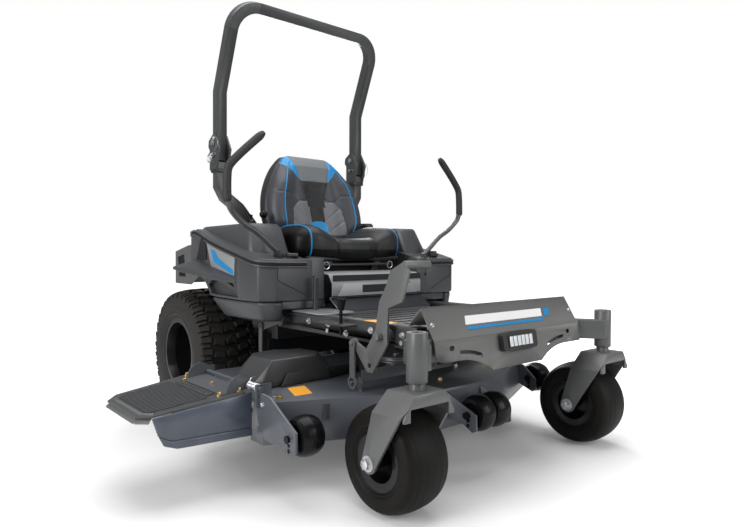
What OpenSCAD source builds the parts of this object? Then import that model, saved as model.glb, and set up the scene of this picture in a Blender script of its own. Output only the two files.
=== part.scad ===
// Zero turn ride-on mower with a wide side-discharge deck.
// Millimetres. The origin is on the ground under the middle of the rear axle.
// +Z is up, the front of the machine is towards -Y and +X is the operator's left.

/* [Stance] */
// Distance from the caster wheel axles to the rear axle
wheelbase = 1427; // [1400:1:1450]
// Distance from the centre plane to a caster swivel
caster_x = 532; // [528:1:536]
// Horizontal distance from the swivel to the caster axle
caster_trail = 95; // [90:1:98]
// Distance from the centre plane to the middle of a drive tyre
drive_x = 495; // [493:1:500]

/* [Wheels] */
// Outside diameter of a drive tyre
drive_tyre_d = 610; // [600:2:614]
// Width of a drive tyre
drive_tyre_w = 290; // [270:2:292]
// Radius of the drive rim flange
drive_rim_r = 165; // [160:1:170]
// Outside diameter of a caster tyre
caster_tyre_d = 330; // [320:2:332]
// Width of a caster tyre
caster_tyre_w = 168; // [150:2:172]
// Radius of the caster rim flange
caster_rim_r = 92; // [86:1:96]

/* [Frame] */
// Distance from the centre plane to the outer face of a front rail
rail_x = 420; // [418:1:424]
// Width of a rail
rail_w = 50; // [46:1:52]
// Height of the top of a front rail
rail_top = 545; // [543:1:547]
// Height of a front rail
rail_h = 75; // [72:1:78]

/* [Roll bar] */
// Distance from the centre plane to the outer face of a post
rops_half_w = 452; // [448:1:456]
// Side of the square roll bar tube
rops_tube = 50; // [48:1:50]
// Wall of the roll bar tube
rops_wall = 4; // [3:0.5:5]
// Height of the fold pivot
rops_pivot_z = 1320; // [1316:1:1324]
// Height at which the posts lean forward
rops_kink_z = 1575; // [1560:1:1590]
// Lean of the upper part of the roll bar
rops_lean = 23; // [20:0.5:25]
// Length of the leaning part up to the middle of the top bar
rops_upper = 426; // [410:1:430]
// Outer radius of the top corners
rops_corner_r = 150; // [130:1:160]

/* [Deck] */
// Height of the top face of the deck when it is raised
deck_top = 300; // [298:1:302]
// Height of the lower edge of the deck when it is raised
deck_bottom = 165; // [160:1:170]
// Thickness of the deck plate
deck_plate = 5; // [4:0.5:6]
// Half the length of a blade
blade_r = 233; // [220:1:234]
// Diameter of an anti-scalp roller
roller_d = 127; // [120:1:128]
// Width of an anti-scalp roller
roller_w = 80; // [70:1:82]

/* [Deck lift] */
// Height of the lift shafts
lift_z = 508; // [506:1:510]
// Length of the lift links between their pins
link_len = 136; // [134:1:138]
// Radius of the hole at the lower end of a link
link_slot_r = 16; // [15.5:0.5:16.5]

/* [Seat] */
// Width of the seat cushion
cushion_w = 630; // [580:5:634]
// Width of the backrest
back_w = 560; // [500:5:580]
// Height of the top of the backrest
back_top = 1279; // [1240:1:1290]

/* [Controls] */
// Diameter of the steering lever tube
lever_d = 25; // [22:0.5:25]
// Diameter of the foam grip
grip_d = 34; // [30:0.5:36]

/* [Hidden] */
$fn = 48;
eps = 1;

// Sides of the machine
left = 1;
right = -1;

// Running clearance of every shaft and pin that turns, on the radius
fit = 0.05;
// How far the round joints of a bent tube stand proud
joint_proud = 0.3;

// Caster places
caster_axle_y = -wheelbase;
caster_axle_z = caster_tyre_d / 2;
swivel_y = caster_axle_y - caster_trail;
caster_tube_r = 32.5;
caster_tube_z = [406, 554];
stem_r = 12.7;
bearing_r = 20;
fork_top = 385;
fork_plate = 10;
fork_half_w = 107;

// Frame places
rail_bottom = rail_top - rail_h;
rail_in = rail_x - rail_w;
rail_wall = 4;
axle_y = [-1466, -1406];
axle_z = [440, 515];
rear_rail_x = [225, 275];
rear_rail_z = [400, 475];
rear_rail_y = [-430, 420];
engine_y = 180;

// Deck places
deck_mid_x = -90;
deck_slope = 14;
deck_lip_z = 215;
spindle_dx = 450;
spindle_y = -800;
centre_spindle_y = -950;
spindles = [[deck_mid_x - spindle_dx, spindle_y], [deck_mid_x, centre_spindle_y],
            [deck_mid_x + spindle_dx, spindle_y]];
deck_outline = [
  [-790, -1080], [-745, -1110], [-545, -1200], [-250, -1330], [70, -1330], [365, -1200],
  [565, -1110], [610, -1080], [610, -560], [520, -455], [-660, -455], [-790, -560]];
roller_z = 226;
roller_bolt_r = 8;
// Each roller: middle in X, middle in Y
roller_right_at = [-738, -1245];
roller_left_at = [552, -1190];
roller_centre_at = [-87, -1418];

// Lift linkage places, side view (Y, Z)
front_shaft_y = -1274;
rear_shaft_y = -640;
lift_arm = [141, -40];
lift_shaft_r = 15;
lift_pin_r = 6;
arm_x = [451, 459];
link_x = [462, 468];
ear_x = [440, 446];

// Chute places
chute_hinge_at = [-800, 350];
chute_slope = 6.5;
chute_rod_r = 6;

// Place of the cutting height pin
pin_y = -738;

// Steering lever places
lever_x = 422;
lever_y = -600;
lever_base_z = 720;
lever_pin_z = 772;

// ---------- helpers ----------

// Unit normal on the left of the line from a to b
function left_normal(a, b) = [a[1] - b[1], b[0] - a[0]] / norm(b - a);

// Corner p moved by d along the mitre of two edge normals
function mitre(p, n1, n2, d) = p + (n1 + n2) * d / (1 + n1 * n2);

// Anticlockwise outline with every edge moved inwards by d
function inset(o, d) = let (n = len(o)) [
  for (i = [0 : n - 1])
    mitre(o[i], left_normal(o[(i + n - 1) % n], o[i]), left_normal(o[i], o[(i + 1) % n]), d)];

// One side of a bent strip that follows a path
function strip_side(path, d) = let (n = len(path)) [
  for (i = [0 : n - 1])
    mitre(path[i], left_normal(path[max(i - 1, 0)], path[max(i, 1)]),
          left_normal(path[min(i, n - 2)], path[min(i + 1, n - 1)]), d)];

function reversed(v) = [for (i = [len(v) - 1 : -1 : 0]) v[i]];

// Outline of a bent strip of width w along a path
function strip(path, w) = concat(strip_side(path, w / 2), reversed(strip_side(path, -w / 2)));

// Extrudes a side view drawn as (Y, Z) from X = a to X = b
module along_x(a, b) {
  translate([a, 0, 0]) rotate([90, 0, 90]) linear_extrude(b - a) children();
}

// Extrudes a front view drawn as (X, Z) from Y = a to Y = b
module along_y(a, b) {
  translate([0, b, 0]) rotate([90, 0, 0]) linear_extrude(b - a) children();
}

// Extrudes a plan drawn as (X, Y) from Z = a to Z = b
module along_z(a, b) {
  translate([0, 0, a]) linear_extrude(b - a) children();
}

// Box between two corners
module block(low, high) {
  translate(low) cube(high - low);
}

// Round bar along X
module bar_x(a, b, y, z, r) {
  translate([a, y, z]) rotate([0, 90, 0]) cylinder(h = b - a, r = r);
}

// Hexagonal head or nut along X
module hex_x(a, b, y, z, r) {
  translate([a, y, z]) rotate([0, 90, 0]) cylinder(h = b - a, r = r, $fn = 6);
}

// Round bar along Y
module bar_y(x, a, b, z, r) {
  translate([x, b, z]) rotate([90, 0, 0]) cylinder(h = b - a, r = r);
}

// Round bar along Z
module bar_z(x, y, a, b, r) {
  translate([x, y, a]) cylinder(h = b - a, r = r);
}

// Round bar from point a to point b
module rod(a, b, r) {
  d = b - a;
  translate(a) rotate([0, acos(d[2] / norm(d)), atan2(d[1], d[0])]) cylinder(h = norm(d), r = r);
}

// Bent round tube through a list of points, with slightly proud round joints
module pipe(points, r) {
  for (i = [0 : len(points) - 2]) rod(points[i], points[i + 1], r);
  for (i = [1 : len(points) - 2]) translate(points[i]) sphere(r = r + joint_proud);
}

// Builds on the left and mirrors to the right when side is right
module on_side(side) {
  if (side == right) mirror([1, 0, 0]) children();
  else children();
}

// Draws on the left and again on the right
module both_sides() {
  children();
  mirror([1, 0, 0]) children();
}

// Ring turned about an axis along X, drawn as (radius, X)
module turned_x(x, y, z) {
  translate([x, y, z]) rotate([0, 90, 0]) rotate_extrude($fn = 96) children();
}

// Hollow rectangular tube along Y
module tube_y(x, y, z, wall) {
  difference() {
    block([x[0], y[0], z[0]], [x[1], y[1], z[1]]);
    block([x[0] + wall, y[0] - eps, z[0] + wall], [x[1] - wall, y[1] + eps, z[1] - wall]);
  }
}

// Hollow rectangular tube along X
module tube_x(x, y, z, wall) {
  difference() {
    block([x[0], y[0], z[0]], [x[1], y[1], z[1]]);
    block([x[0] - eps, y[0] + wall, z[0] + wall], [x[1] + eps, y[1] - wall, z[1] - wall]);
  }
}

// ---------- chassis ----------

// Side rails, cross members, engine plate, seat posts and rear hitch
module main_frame() {
  hitch_y = 505;
  color("dimgray") difference() {
    union() {
      both_sides() {
        tube_y([rail_in, rail_x], [axle_y[1], -430], [rail_bottom, rail_top], rail_wall);
        tube_y(rear_rail_x, rear_rail_y, rear_rail_z, rail_wall);
        // Upright that carries the back of the seat plate
        block([200, -450, rail_top], [240, -430, 724]);
      }
      // Cross member that joins the wide front rails to the narrow rear rails
      tube_x([-rail_in, rail_in], [-480, -430], [rear_rail_z[0], rail_top], rail_wall);
      block([-rail_in, -480, rear_rail_z[0]], [-rail_in + rail_wall, -430, rail_top]);
      block([rail_in - rail_wall, -480, rear_rail_z[0]], [rail_in, -430, rail_top]);
      // Rear cross member and engine plate
      tube_x([-rear_rail_x[0], rear_rail_x[0]], [370, 420], rear_rail_z, rail_wall);
      block([-rear_rail_x[0], -60, 469], [rear_rail_x[0], 370, 475]);
      // Hitch plate under the rear cross member
      block([-80, 420, 330], [80, 428, 475]);
      block([-60, 428, 330], [60, hitch_y, 342]);
      // Bracket that guides the transport lock knob
      block([-485, -1105, 524], [-rail_x, -935, 530]);
    }
    for (y = [front_shaft_y, rear_shaft_y]) bar_x(-500, 500, y, lift_z, lift_shaft_r + fit);
    bar_z(0, hitch_y - 22, 320, 350, 8.5);
    bar_z(0, engine_y, 460, 480, 40);
    bar_z(-445, -1040, 520, 535, 6 + fit);
  }
}

// Cross tube with an arm and a swivel tube at each end
module front_axle() {
  arm = [[400, axle_y[1]], [400, axle_y[0]], [438, axle_y[0]], [500, -1550], [caster_x, -1550],
         [caster_x, -1500], [478, axle_y[1]]];
  color("dimgray") difference() {
    union() {
      tube_x([-401, 401], axle_y, axle_z, 5);
      both_sides() {
        along_z(axle_z[0], axle_z[1]) polygon(arm);
        bar_z(caster_x, swivel_y, caster_tube_z[0], caster_tube_z[1], caster_tube_r);
      }
    }
    both_sides() bar_z(caster_x, swivel_y, 400, 560, bearing_r);
  }
}

// Bushes at both ends of each swivel tube
module caster_bearings() {
  color("silver") both_sides() for (z = [408, 505]) difference() {
    bar_z(caster_x, swivel_y, z, z + 26, bearing_r);
    bar_z(caster_x, swivel_y, z - eps, z + 27, stem_r + fit);
  }
}

// Folded sheet over the front axle, with arched lower edge, slots and holes
module nose_cover() {
  half_w = 413;
  t = 3;
  fold = [-1477, 508];
  arch_r = 281;
  arch_x = 300;
  arch_z = -70 - arch_r;
  color("gray") {
    along_x(-half_w, half_w)
      polygon(strip([fold, [-1417, 607], [-1362, 549]], t));
    translate([0, fold[0], fold[1]]) rotate([-9, 0, 0]) along_y(-t / 2, t / 2) difference() {
      polygon([[-half_w, 0], [-half_w, -70], [-arch_x, -70], [-arch_x, -119], [arch_x, -119],
               [arch_x, -70], [half_w, -70], [half_w, 0]]);
      for (side = [-1, 1]) {
        translate([side * arch_x, arch_z]) circle(r = arch_r, $fn = 96);
        // Curved slot that follows the arch
        intersection() {
          translate([side * arch_x, arch_z]) difference() {
            circle(r = arch_r + 32, $fn = 96);
            circle(r = arch_r + 20, $fn = 96);
          }
          polygon([[side * arch_x, 0], [side * 190, 0], [side * 190, -90], [side * arch_x, -90]]);
        }
        translate([side * 340, -28]) circle(r = 8);
        translate([side * 332, -28]) circle(r = 8);
        translate([side * 336, -28]) square([8, 16], center = true);
      }
      // Window for the work light
      translate([0, -34]) square([140, 46], center = true);
    }
  }
}

// Lamp housing with a lens, fixed in the nose cover
module work_light() {
  z = 475;
  translate([0, -1480, z]) rotate([-9, 0, 0]) {
    color("black") {
      along_y(-25, -4.5) polygon([[-98, -22], [-92, -30], [-50, -35], [50, -35], [92, -30], [98, -22],
                                [98, 22], [92, 30], [50, 35], [-50, 35], [-92, 30], [-98, 22]]);
      along_y(-4.5, 10) square([130, 38], center = true);
    }
    color("white") along_y(-28, -25.05) square([140, 45], center = true);
  }
}

// Flat floor between the rails
module floor_pan() {
  color("black") {
    block([-rail_in + 1, -1400, 530], [rail_in - 1, -810, 534]);
    for (i = [0 : 8]) block([-300, -1360 + i * 60, 534], [300, -1340 + i * 60, 537]);
  }
}

// Folded panel below the seat, from the seat base down to the floor
module seat_base_panel() {
  t = 4;
  color("darkgray") {
    along_x(-262, 262) polygon(strip([[-580, 700], [-712, 692], [-738, 655], [-738, 598]], t));
    along_x(-262, 262) polygon(strip([[-738, 598], [-722, 590], [-804, 534]], t));
  }
}

// Cutting height scale plate on the right rail
module index_plate() {
  color("silver") difference() {
    block([-432, -890, rail_top], [-264, -694, rail_top + 5]);
    for (i = [0 : 4], j = [0 : 2])
      bar_z(-300 - j * 22, -860 + i * 26, rail_top - eps, rail_top + 6, 5);
    bar_z(-345, pin_y, rail_top - eps, rail_top + 6, 6 + fit);
  }
}

// Plan and side outlines of a fender pod, each moved inwards by t
module pod_solid(t) {
  plan = [[275, -706], [515, -706], [572, -660], [590, -560], [590, -260], [540, 50], [500, 80],
          [340, 80], [335, -600], [275, -640]];
  side = [[-706, 587], [-430, 587], [-330, 655], [-150, 700], [80, 720], [80, 880], [-40, 896],
          [-640, 762], [-706, 762]];
  intersection() {
    along_z(500, 1000) polygon(inset(plan, t));
    along_x(200, 700) polygon(inset(side, t));
  }
}

// Raised upper part of a pod, moved inwards by t
module pod_crown(t) {
  plan = [[345, -530], [470, -545], [520, -500], [505, 40], [470, 62], [345, 62]];
  side = [[-548, 700], [62, 700], [62, 890], [20, 915], [-450, 915], [-500, 890], [-530, 800],
          [-548, 775]];
  intersection() {
    along_z(690, 1000) polygon(inset(plan, t));
    along_x(300, 600) polygon(inset(side, t));
  }
}

// Moulded fender pod with its lever slot, side recess, scoop and lower skirt
module pod(side) {
  wall = 5;
  recess = [[-560, 690], [-300, 720], [-120, 800], [-110, 868], [-250, 838], [-560, 768]];
  on_side(side) color("dimgray") {
    difference() {
      union() {
        pod_solid(0);
        pod_crown(0);
      }
      difference() {
        union() {
          pod_solid(wall);
          pod_crown(wall);
          block([340, -600, 560], [560, -440, 600]);
        }
        // Boss around the recess keeps its wall whole
        along_x(560, 640) polygon(inset(recess, -wall));
      }
      along_x(575, 640) polygon(recess);
      // Slot for the steering lever
      block([396, -668, 700], [448, -553, 830]);
      // Slot across the front face and a hole under it
      block([330, -710, 741], [440, -690, 748]);
      bar_y(316, -720, -690, 716, 6);
    }
    // Wedge-shaped scoop on the side
    translate([0, -560, 640]) rotate([7, 0, 0])
      along_z(0, 20) polygon([[586, 0], [600, 40], [655, 440], [645, 475], [560, 500], [586, 200]]);
    // Lower skirt
    difference() {
      along_z(546, 589) polygon([[250, -690], [500, -690], [552, -650], [560, -440], [350, -440],
                                 [330, -600], [250, -620]]);
      along_z(540, 591) polygon([[258, -682], [496, -682], [545, -646], [552, -448], [358, -448],
                                 [338, -606], [258, -628]]);
    }
  }
}

// Filler caps on the pods
module fuel_caps() {
  for (at = [[430, -300], [-430, -60]]) color("black") {
    bar_z(at[0], at[1], 915, 940, 42);
    bar_z(at[0], at[1], 940, 948, 34);
  }
}

// Lower roll bar legs with the hinge brackets
module rops_legs() {
  y = [-58, -8];
  mid = rops_half_w - rops_tube / 2;
  leg_top = 1228;
  path = [[250, 475], [250, 500], [262, 930], [330, 1010], [400, 1060], [mid, 1110], [mid, leg_top]];
  plate = [[-92, 1290], [-66, 1196], [-8, 1180], [10, 1196], [10, 1290], [24, 1308], [20, 1336],
           [-20, 1362], [-48, 1362]];
  color("#303234") both_sides() difference() {
    union() {
      along_y(y[0], y[1]) polygon(strip(path, rops_tube));
      for (x = [rops_half_w - rops_tube - 9, rops_half_w + 1]) along_x(x, x + 8) polygon(plate);
      // Shims that weld the bracket plates to the leg
      block([rops_half_w - rops_tube - 2, y[0], 1186], [rops_half_w + 2, y[1], 1226]);
    }
    along_y(y[0] + rops_wall, y[1] - rops_wall)
      polygon(strip(concat([[250, 470]], [for (i = [1 : 5]) path[i]], [[mid, leg_top + eps]]),
                    rops_tube - 2 * rops_wall));
    bar_x(380, 480, -33, rops_pivot_z, 8 + fit);
    bar_x(380, 480, -33, rops_pivot_z - 58, 8 + fit);
  }
}

// Air-cooled engine on the engine plate
module engine_block() {
  color("silver") {
    bar_z(0, engine_y, 475, 500, 130);
    bar_z(0, engine_y, 500, 660, 100);
    // Two finned cylinders in a V
    for (a = [-45, 45]) translate([0, engine_y, 590]) rotate([0, 0, a + 90]) {
      rotate([0, 90, 0]) cylinder(h = 165, r = 38);
      for (i = [0 : 5]) translate([104 + i * 11, 0, 0]) rotate([0, 90, 0])
        cylinder(h = 5, r = 54);
    }
  }
}

// Fan housing and air cleaner on top of the engine
module engine_shroud() {
  color("#1c1c1e") {
    bar_z(0, engine_y - 10, 661, 800, 165);
    bar_z(0, engine_y - 10, 800, 830, 130);
    bar_z(0, engine_y + 20, 830, 850, 70);
    bar_x(-150, 150, engine_y + 190, 760, 55);
  }
}

// Silencer across the back of the engine, with its outlet
module muffler() {
  color("#3a3532") {
    difference() {
      union() {
        bar_x(-200, 200, 398, 600, 48);
        bar_z(150, 398, 500, 590, 18);
      }
      bar_x(-197, 197, 398, 600, 45);
      bar_z(150, 398, 499, 591, 15);
    }
  }
}

// Bent guard round the back of the engine
module engine_guard() {
  y0 = 85;
  y1 = 455;
  t = 4;
  half_w = 452;
  side = [[y0, 700], [250, 616], [y1, 616], [y1, 790], [290, 822], [y0, 838]];
  color("#515355") difference() {
    union() {
      both_sides() along_x(half_w - t, half_w) polygon(side);
      along_y(y1 - t, y1) polygon([[-half_w, 616], [half_w, 616], [half_w, 790], [-half_w, 790]]);
      // Straps down to the rear cross member
      both_sides() block([230, 420, 440], [270, 426, 630]);
      both_sides() block([230, 420, 622], [270, y1 - t, 630]);
    }
    for (i = [0 : 5]) translate([-300 + i * 120, 0, 0])
      along_y(y1 - 10, y1 + 10) polygon([[-40, 660], [30, 660], [44, 750], [-26, 750]]);
    both_sides() along_x(half_w - 20, half_w + 20)
      polygon([[320, 655], [410, 655], [425, 760], [340, 775]]);
  }
}

// Hydrostatic transaxle of each side
module transaxles() {
  color("#47484a") both_sides() {
    block([120, -110, 250], [250, 110, 396]);
    bar_x(250, 352, 0, drive_tyre_d / 2, 62);
    bar_x(352, 432, 0, drive_tyre_d / 2, 25);
    bar_z(180, -60, 396, 399.5, 40);
  }
}

// Hinge bolts, lift pivots and other bolts of the frame
module frame_bolts() {
  mid = rops_half_w - rops_tube / 2;
  color("silver") both_sides() {
    // Fold pivot of the roll bar
    bar_x(mid - 42, mid + 42, -33, rops_pivot_z, 8);
    hex_x(mid - 44, mid - 34.2, -33, rops_pivot_z, 14);
    hex_x(mid + 34.2, mid + 44, -33, rops_pivot_z, 14);
    // Bolts on the outer face of the front rail
    for (y = [-1340, -930, -560]) hex_x(rail_x, rail_x + 8, y, 490, 9);
    // Bolts on the roll bar feet
    for (z = [560, 640]) translate([252, -58, z]) rotate([90, 0, 0]) cylinder(h = 8, r = 10, $fn = 6);
  }
}

// ---------- roll bar ----------

// Outer shape of the folding hoop for a tube of side w, in the shared frame
module hoop_shape(w, foot) {
  mid = rops_half_w - rops_tube / 2;
  bend_r = rops_corner_r - rops_tube / 2;
  straight = rops_upper - bend_r;
  lean = [-sin(rops_lean), cos(rops_lean)];
  y = -33;
  // The bends are a little thicker than the straight tubes, which reach a little way into them
  bend_w = w + 0.2;
  into = 2;
  both_sides() {
    along_x(mid - w / 2, mid + w / 2)
      polygon(strip([[y, foot], [y, rops_kink_z], [y, rops_kink_z] + (straight + into) * lean], w));
    translate([0, y, rops_kink_z] + [0, straight * lean[0], straight * lean[1]])
      rotate([rops_lean, 0, 0]) translate([mid - bend_r, 0, 0]) rotate([90, 0, 0])
        rotate_extrude(angle = 90, $fn = 96) translate([bend_r, 0]) square(bend_w, center = true);
  }
  translate([0, y, rops_kink_z] + [0, straight * lean[0], straight * lean[1]])
    rotate([rops_lean, 0, 0]) translate([0, 0, bend_r])
      cube([2 * (mid - bend_r + into), w, w], center = true);
}

// Folding hoop with three holes in its top bar
module rops_hoop() {
  foot = rops_pivot_z - 84;
  top = [0, -33, rops_kink_z] + rops_upper * [0, -sin(rops_lean), cos(rops_lean)];
  mid = rops_half_w - rops_tube / 2;
  color("#303234") difference() {
    union() {
      difference() {
        hoop_shape(rops_tube, foot);
        hoop_shape(rops_tube - 2 * rops_wall, foot - eps);
      }
      // Sleeve round the fold pivot
      both_sides() bar_x(mid - 24, mid + 24, -33, rops_pivot_z, 14);
    }
    both_sides() bar_x(mid - 60, mid + 60, -33, rops_pivot_z, 8 + fit);
    // Open notch that lets the foot swing off the lock pin
    both_sides() block([mid - 60, -42, rops_pivot_z - 67], [mid + 60, 10, rops_pivot_z - 39]);
    for (x = [-128, 0, 128]) translate(top + [x, 0, 0]) rotate([rops_lean, 0, 0])
      translate([0, 0, -40]) cylinder(h = 80, r = 7);
  }
}

// Lock pin with a pull ring
module rops_pin(side) {
  z = rops_pivot_z - 58;
  on_side(side) color("silver") {
    bar_x(380, 483, -33, z, 8);
    bar_x(461.5, 470, -33, z, 12);
    translate([482, -33, z - 18]) rotate([0, 90, 0]) rotate_extrude() translate([20, 0])
      circle(r = 3, $fn = 24);
  }
}

// ---------- casters ----------

// Fork with its stem, wheel bolt and top nut
module caster_fork(side) {
  w = fork_half_w;
  p = fork_plate;
  outer = [[-w, 130], [w, 130], [w, 322], [64, fork_top], [-64, fork_top], [-w, 322]];
  inner = [[p - w, 120], [w - p, 120], [w - p, 318], [60, fork_top - p], [-60, fork_top - p],
           [p - w, 318]];
  leg = [[-1577, 390], [-1577, 348], [-1458, 158], [-1396, 166], [-1464, 390]];
  ay = caster_axle_y;
  az = caster_axle_z;
  on_side(side) translate([caster_x, 0, 0]) {
    color("dimgray") {
      difference() {
        intersection() {
          along_y(-1600, -1380) difference() {
            polygon(outer);
            polygon(inner);
          }
          along_x(-150, 150) {
            polygon(reversed(leg));
            translate([ay, az]) circle(r = 31);
          }
        }
        bar_x(-150, 150, ay, az, 9.5);
      }
      // Web across the front of the fork
      along_y(-1577, -1569) difference() {
        polygon([[-w + 5, 322], [-62, fork_top - 2], [62, fork_top - 2], [w - 5, 322], [w - 5, 312],
                 [-w + 5, 312]]);
        translate([-78, 290]) square([156, 58]);
      }
      // Stem and its shoulder
      bar_z(0, swivel_y, fork_top - p, 532, stem_r);
      bar_z(0, swivel_y, fork_top, 405.5, 24);
      translate([0, swivel_y, 532]) cylinder(h = 16, r = 17, $fn = 6);
    }
    color("silver") {
      bar_x(-119, 119, ay, az, 9.5);
      hex_x(-127, -107.2, ay, az, 15);
      hex_x(107.2, 123, ay, az, 15);
    }
  }
}

// Rim with a hub that runs on the fork bolt, drawn as (radius, across)
module caster_rim(side) {
  profile = [[9.5 + fit, -95], [20, -95], [22, -30], [66, -20], [66, -70], [84, -73],
             [caster_rim_r, -73], [caster_rim_r, -66], [74, -60], [74, 60], [caster_rim_r, 66],
             [caster_rim_r, 73], [84, 73], [66, 70], [66, -8], [22, 12], [20, 95], [9.5 + fit, 95]];
  on_side(side) color("#141415") turned_x(caster_x, caster_axle_y, caster_axle_z)
    polygon(profile);
}

// Smooth caster tyre that closes round its rim, drawn as (radius, across)
module caster_tyre(side) {
  r = caster_tyre_d / 2;
  w = caster_tyre_w / 2;
  wall = [for (a = [-80 : 20 : 80]) [r - 42 + 42 * pow(cos(a), 0.55), w * sin(a) / sin(80)]];
  profile = concat([[74.2, -59.8], [caster_rim_r + 0.2, -65.8],
                    [caster_rim_r + 0.2, -73], [108, -w + 2]], wall,
                   [[108, w - 2], [caster_rim_r + 0.2, 73], [caster_rim_r + 0.2, 65.8], [74.2, 59.8]]);
  on_side(side) color("#222224") turned_x(caster_x, caster_axle_y, caster_axle_z)
    polygon(profile);
}

// ---------- drive wheels ----------

// Deep-dish rim with its hub flange and wheel nuts
module drive_rim(side) {
  r = drive_rim_r;
  w = drive_tyre_w / 2 - 16;
  // Across runs from the inner side to the outer side
  profile = [[30, -60], [30, -68], [95, -68], [118, -40], [132, -38], [132, -w + 8], [146, -w],
             [r, -w], [r, -w + 8], [150, -w + 16], [144, -w + 40], [144, w - 40], [150, w - 16],
             [r, w - 8], [r, w], [146, w], [136, w - 40], [136, -28], [112, -30], [90, -60]];
  z = drive_tyre_d / 2;
  on_side(side) {
    color("#141415") turned_x(drive_x, 0, z) polygon(profile);
    color("#3c3d3f") difference() {
      bar_x(drive_x - 82, drive_x - 68.05, 0, z, 68);
      bar_x(drive_x - 140, drive_x - 60, 0, z, 25 + fit);
    }
    color("silver") for (a = [0 : 72 : 288])
      hex_x(drive_x - 59.95, drive_x - 44, 57 * cos(a), z + 57 * sin(a), 12);
  }
}

// Drive tyre, at the outline of its tread blocks, drawn as (radius, across)
module drive_tyre(side) {
  r = drive_tyre_d / 2;
  w = drive_tyre_w / 2;
  wall = [for (a = [-80 : 16 : 80]) [r - 70 + 70 * pow(cos(a), 0.4), w * sin(a) / sin(80)]];
  inner = [for (a = [-80 : 16 : 80]) [r - 88 + 70 * pow(cos(a), 0.4), (w - 16) * sin(a) / sin(80)]];
  rim = drive_rim_r + 0.2;
  in = w - 16;
  profile = concat([[144.2, -in + 42], [150.2, -in + 16.3], [rim, -in + 8], [rim, -in], [195, -w + 2]],
                   wall, [[195, w - 2], [rim, in], [rim, in - 8], [150.2, in - 16.3],
                          [144.2, in - 42], [144.2, in - 58], [rim, in - 50]],
                   reversed(inner), [[rim, 50 - in], [144.2, 58 - in]]);
  on_side(side) color("#242321") turned_x(drive_x, 0, r) polygon(profile);
}

// ---------- steering levers ----------

// Pivot base inside the pod: turns fore and aft, carries the lever fork
module lever_base(side) {
  x = lever_x;
  y = lever_y;
  on_side(side) color("#1d1d1f") {
    bar_x(x - 18, x + 18, y, lever_base_z, 15);
    block([x - 12, y - 22, lever_base_z], [x + 12, y + 22, 752]);
    for (s = [-22, 16]) {
      block([x - 12, y + s, 750], [x + 12, y + s + 6, lever_pin_z]);
      bar_y(x, y + s, y + s + 6, lever_pin_z, 12);
    }
    bar_y(x, y - 24, y + 24, lever_pin_z, 5);
  }
}

// Bent lever tube with the eye that turns on the base
module lever_tube(side) {
  x = lever_x;
  y = lever_y;
  points = [[x + 8, y, 778], [475, y, 816], [540, y, 868], [604, y - 2, 904], [645, y - 6, 938],
            [668, y - 12, 964], [680.4, y - 15.4, 984], [680, y - 15, 1000]];
  on_side(side) color("#37393b") difference() {
    union() {
      pipe(points, lever_d / 2);
      bar_y(x, y - 15, y + 15, lever_pin_z, 13);
    }
    bar_y(x, y - 20, y + 20, lever_pin_z, 5 + fit);
  }
}

// Foam grip on the upper part of the lever
module lever_grip(side) {
  y = lever_y;
  points = [[680, y - 15, 1000.2], [677, y - 12, 1122], [521, y - 19, 1275]];
  on_side(side) color("#161617") {
    pipe(points, grip_d / 2);
    translate(points[2]) sphere(r = grip_d / 2 + joint_proud);
  }
}

// ---------- deck ----------

// Side view outline of a roller bracket (Y, Z)
function roller_bracket(y) = [[y - 36, 228], [y - 38, 178], [y - 20, 170], [y + 60, 200],
                              [y + 60, 282], [y + 30, 282]];

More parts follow.
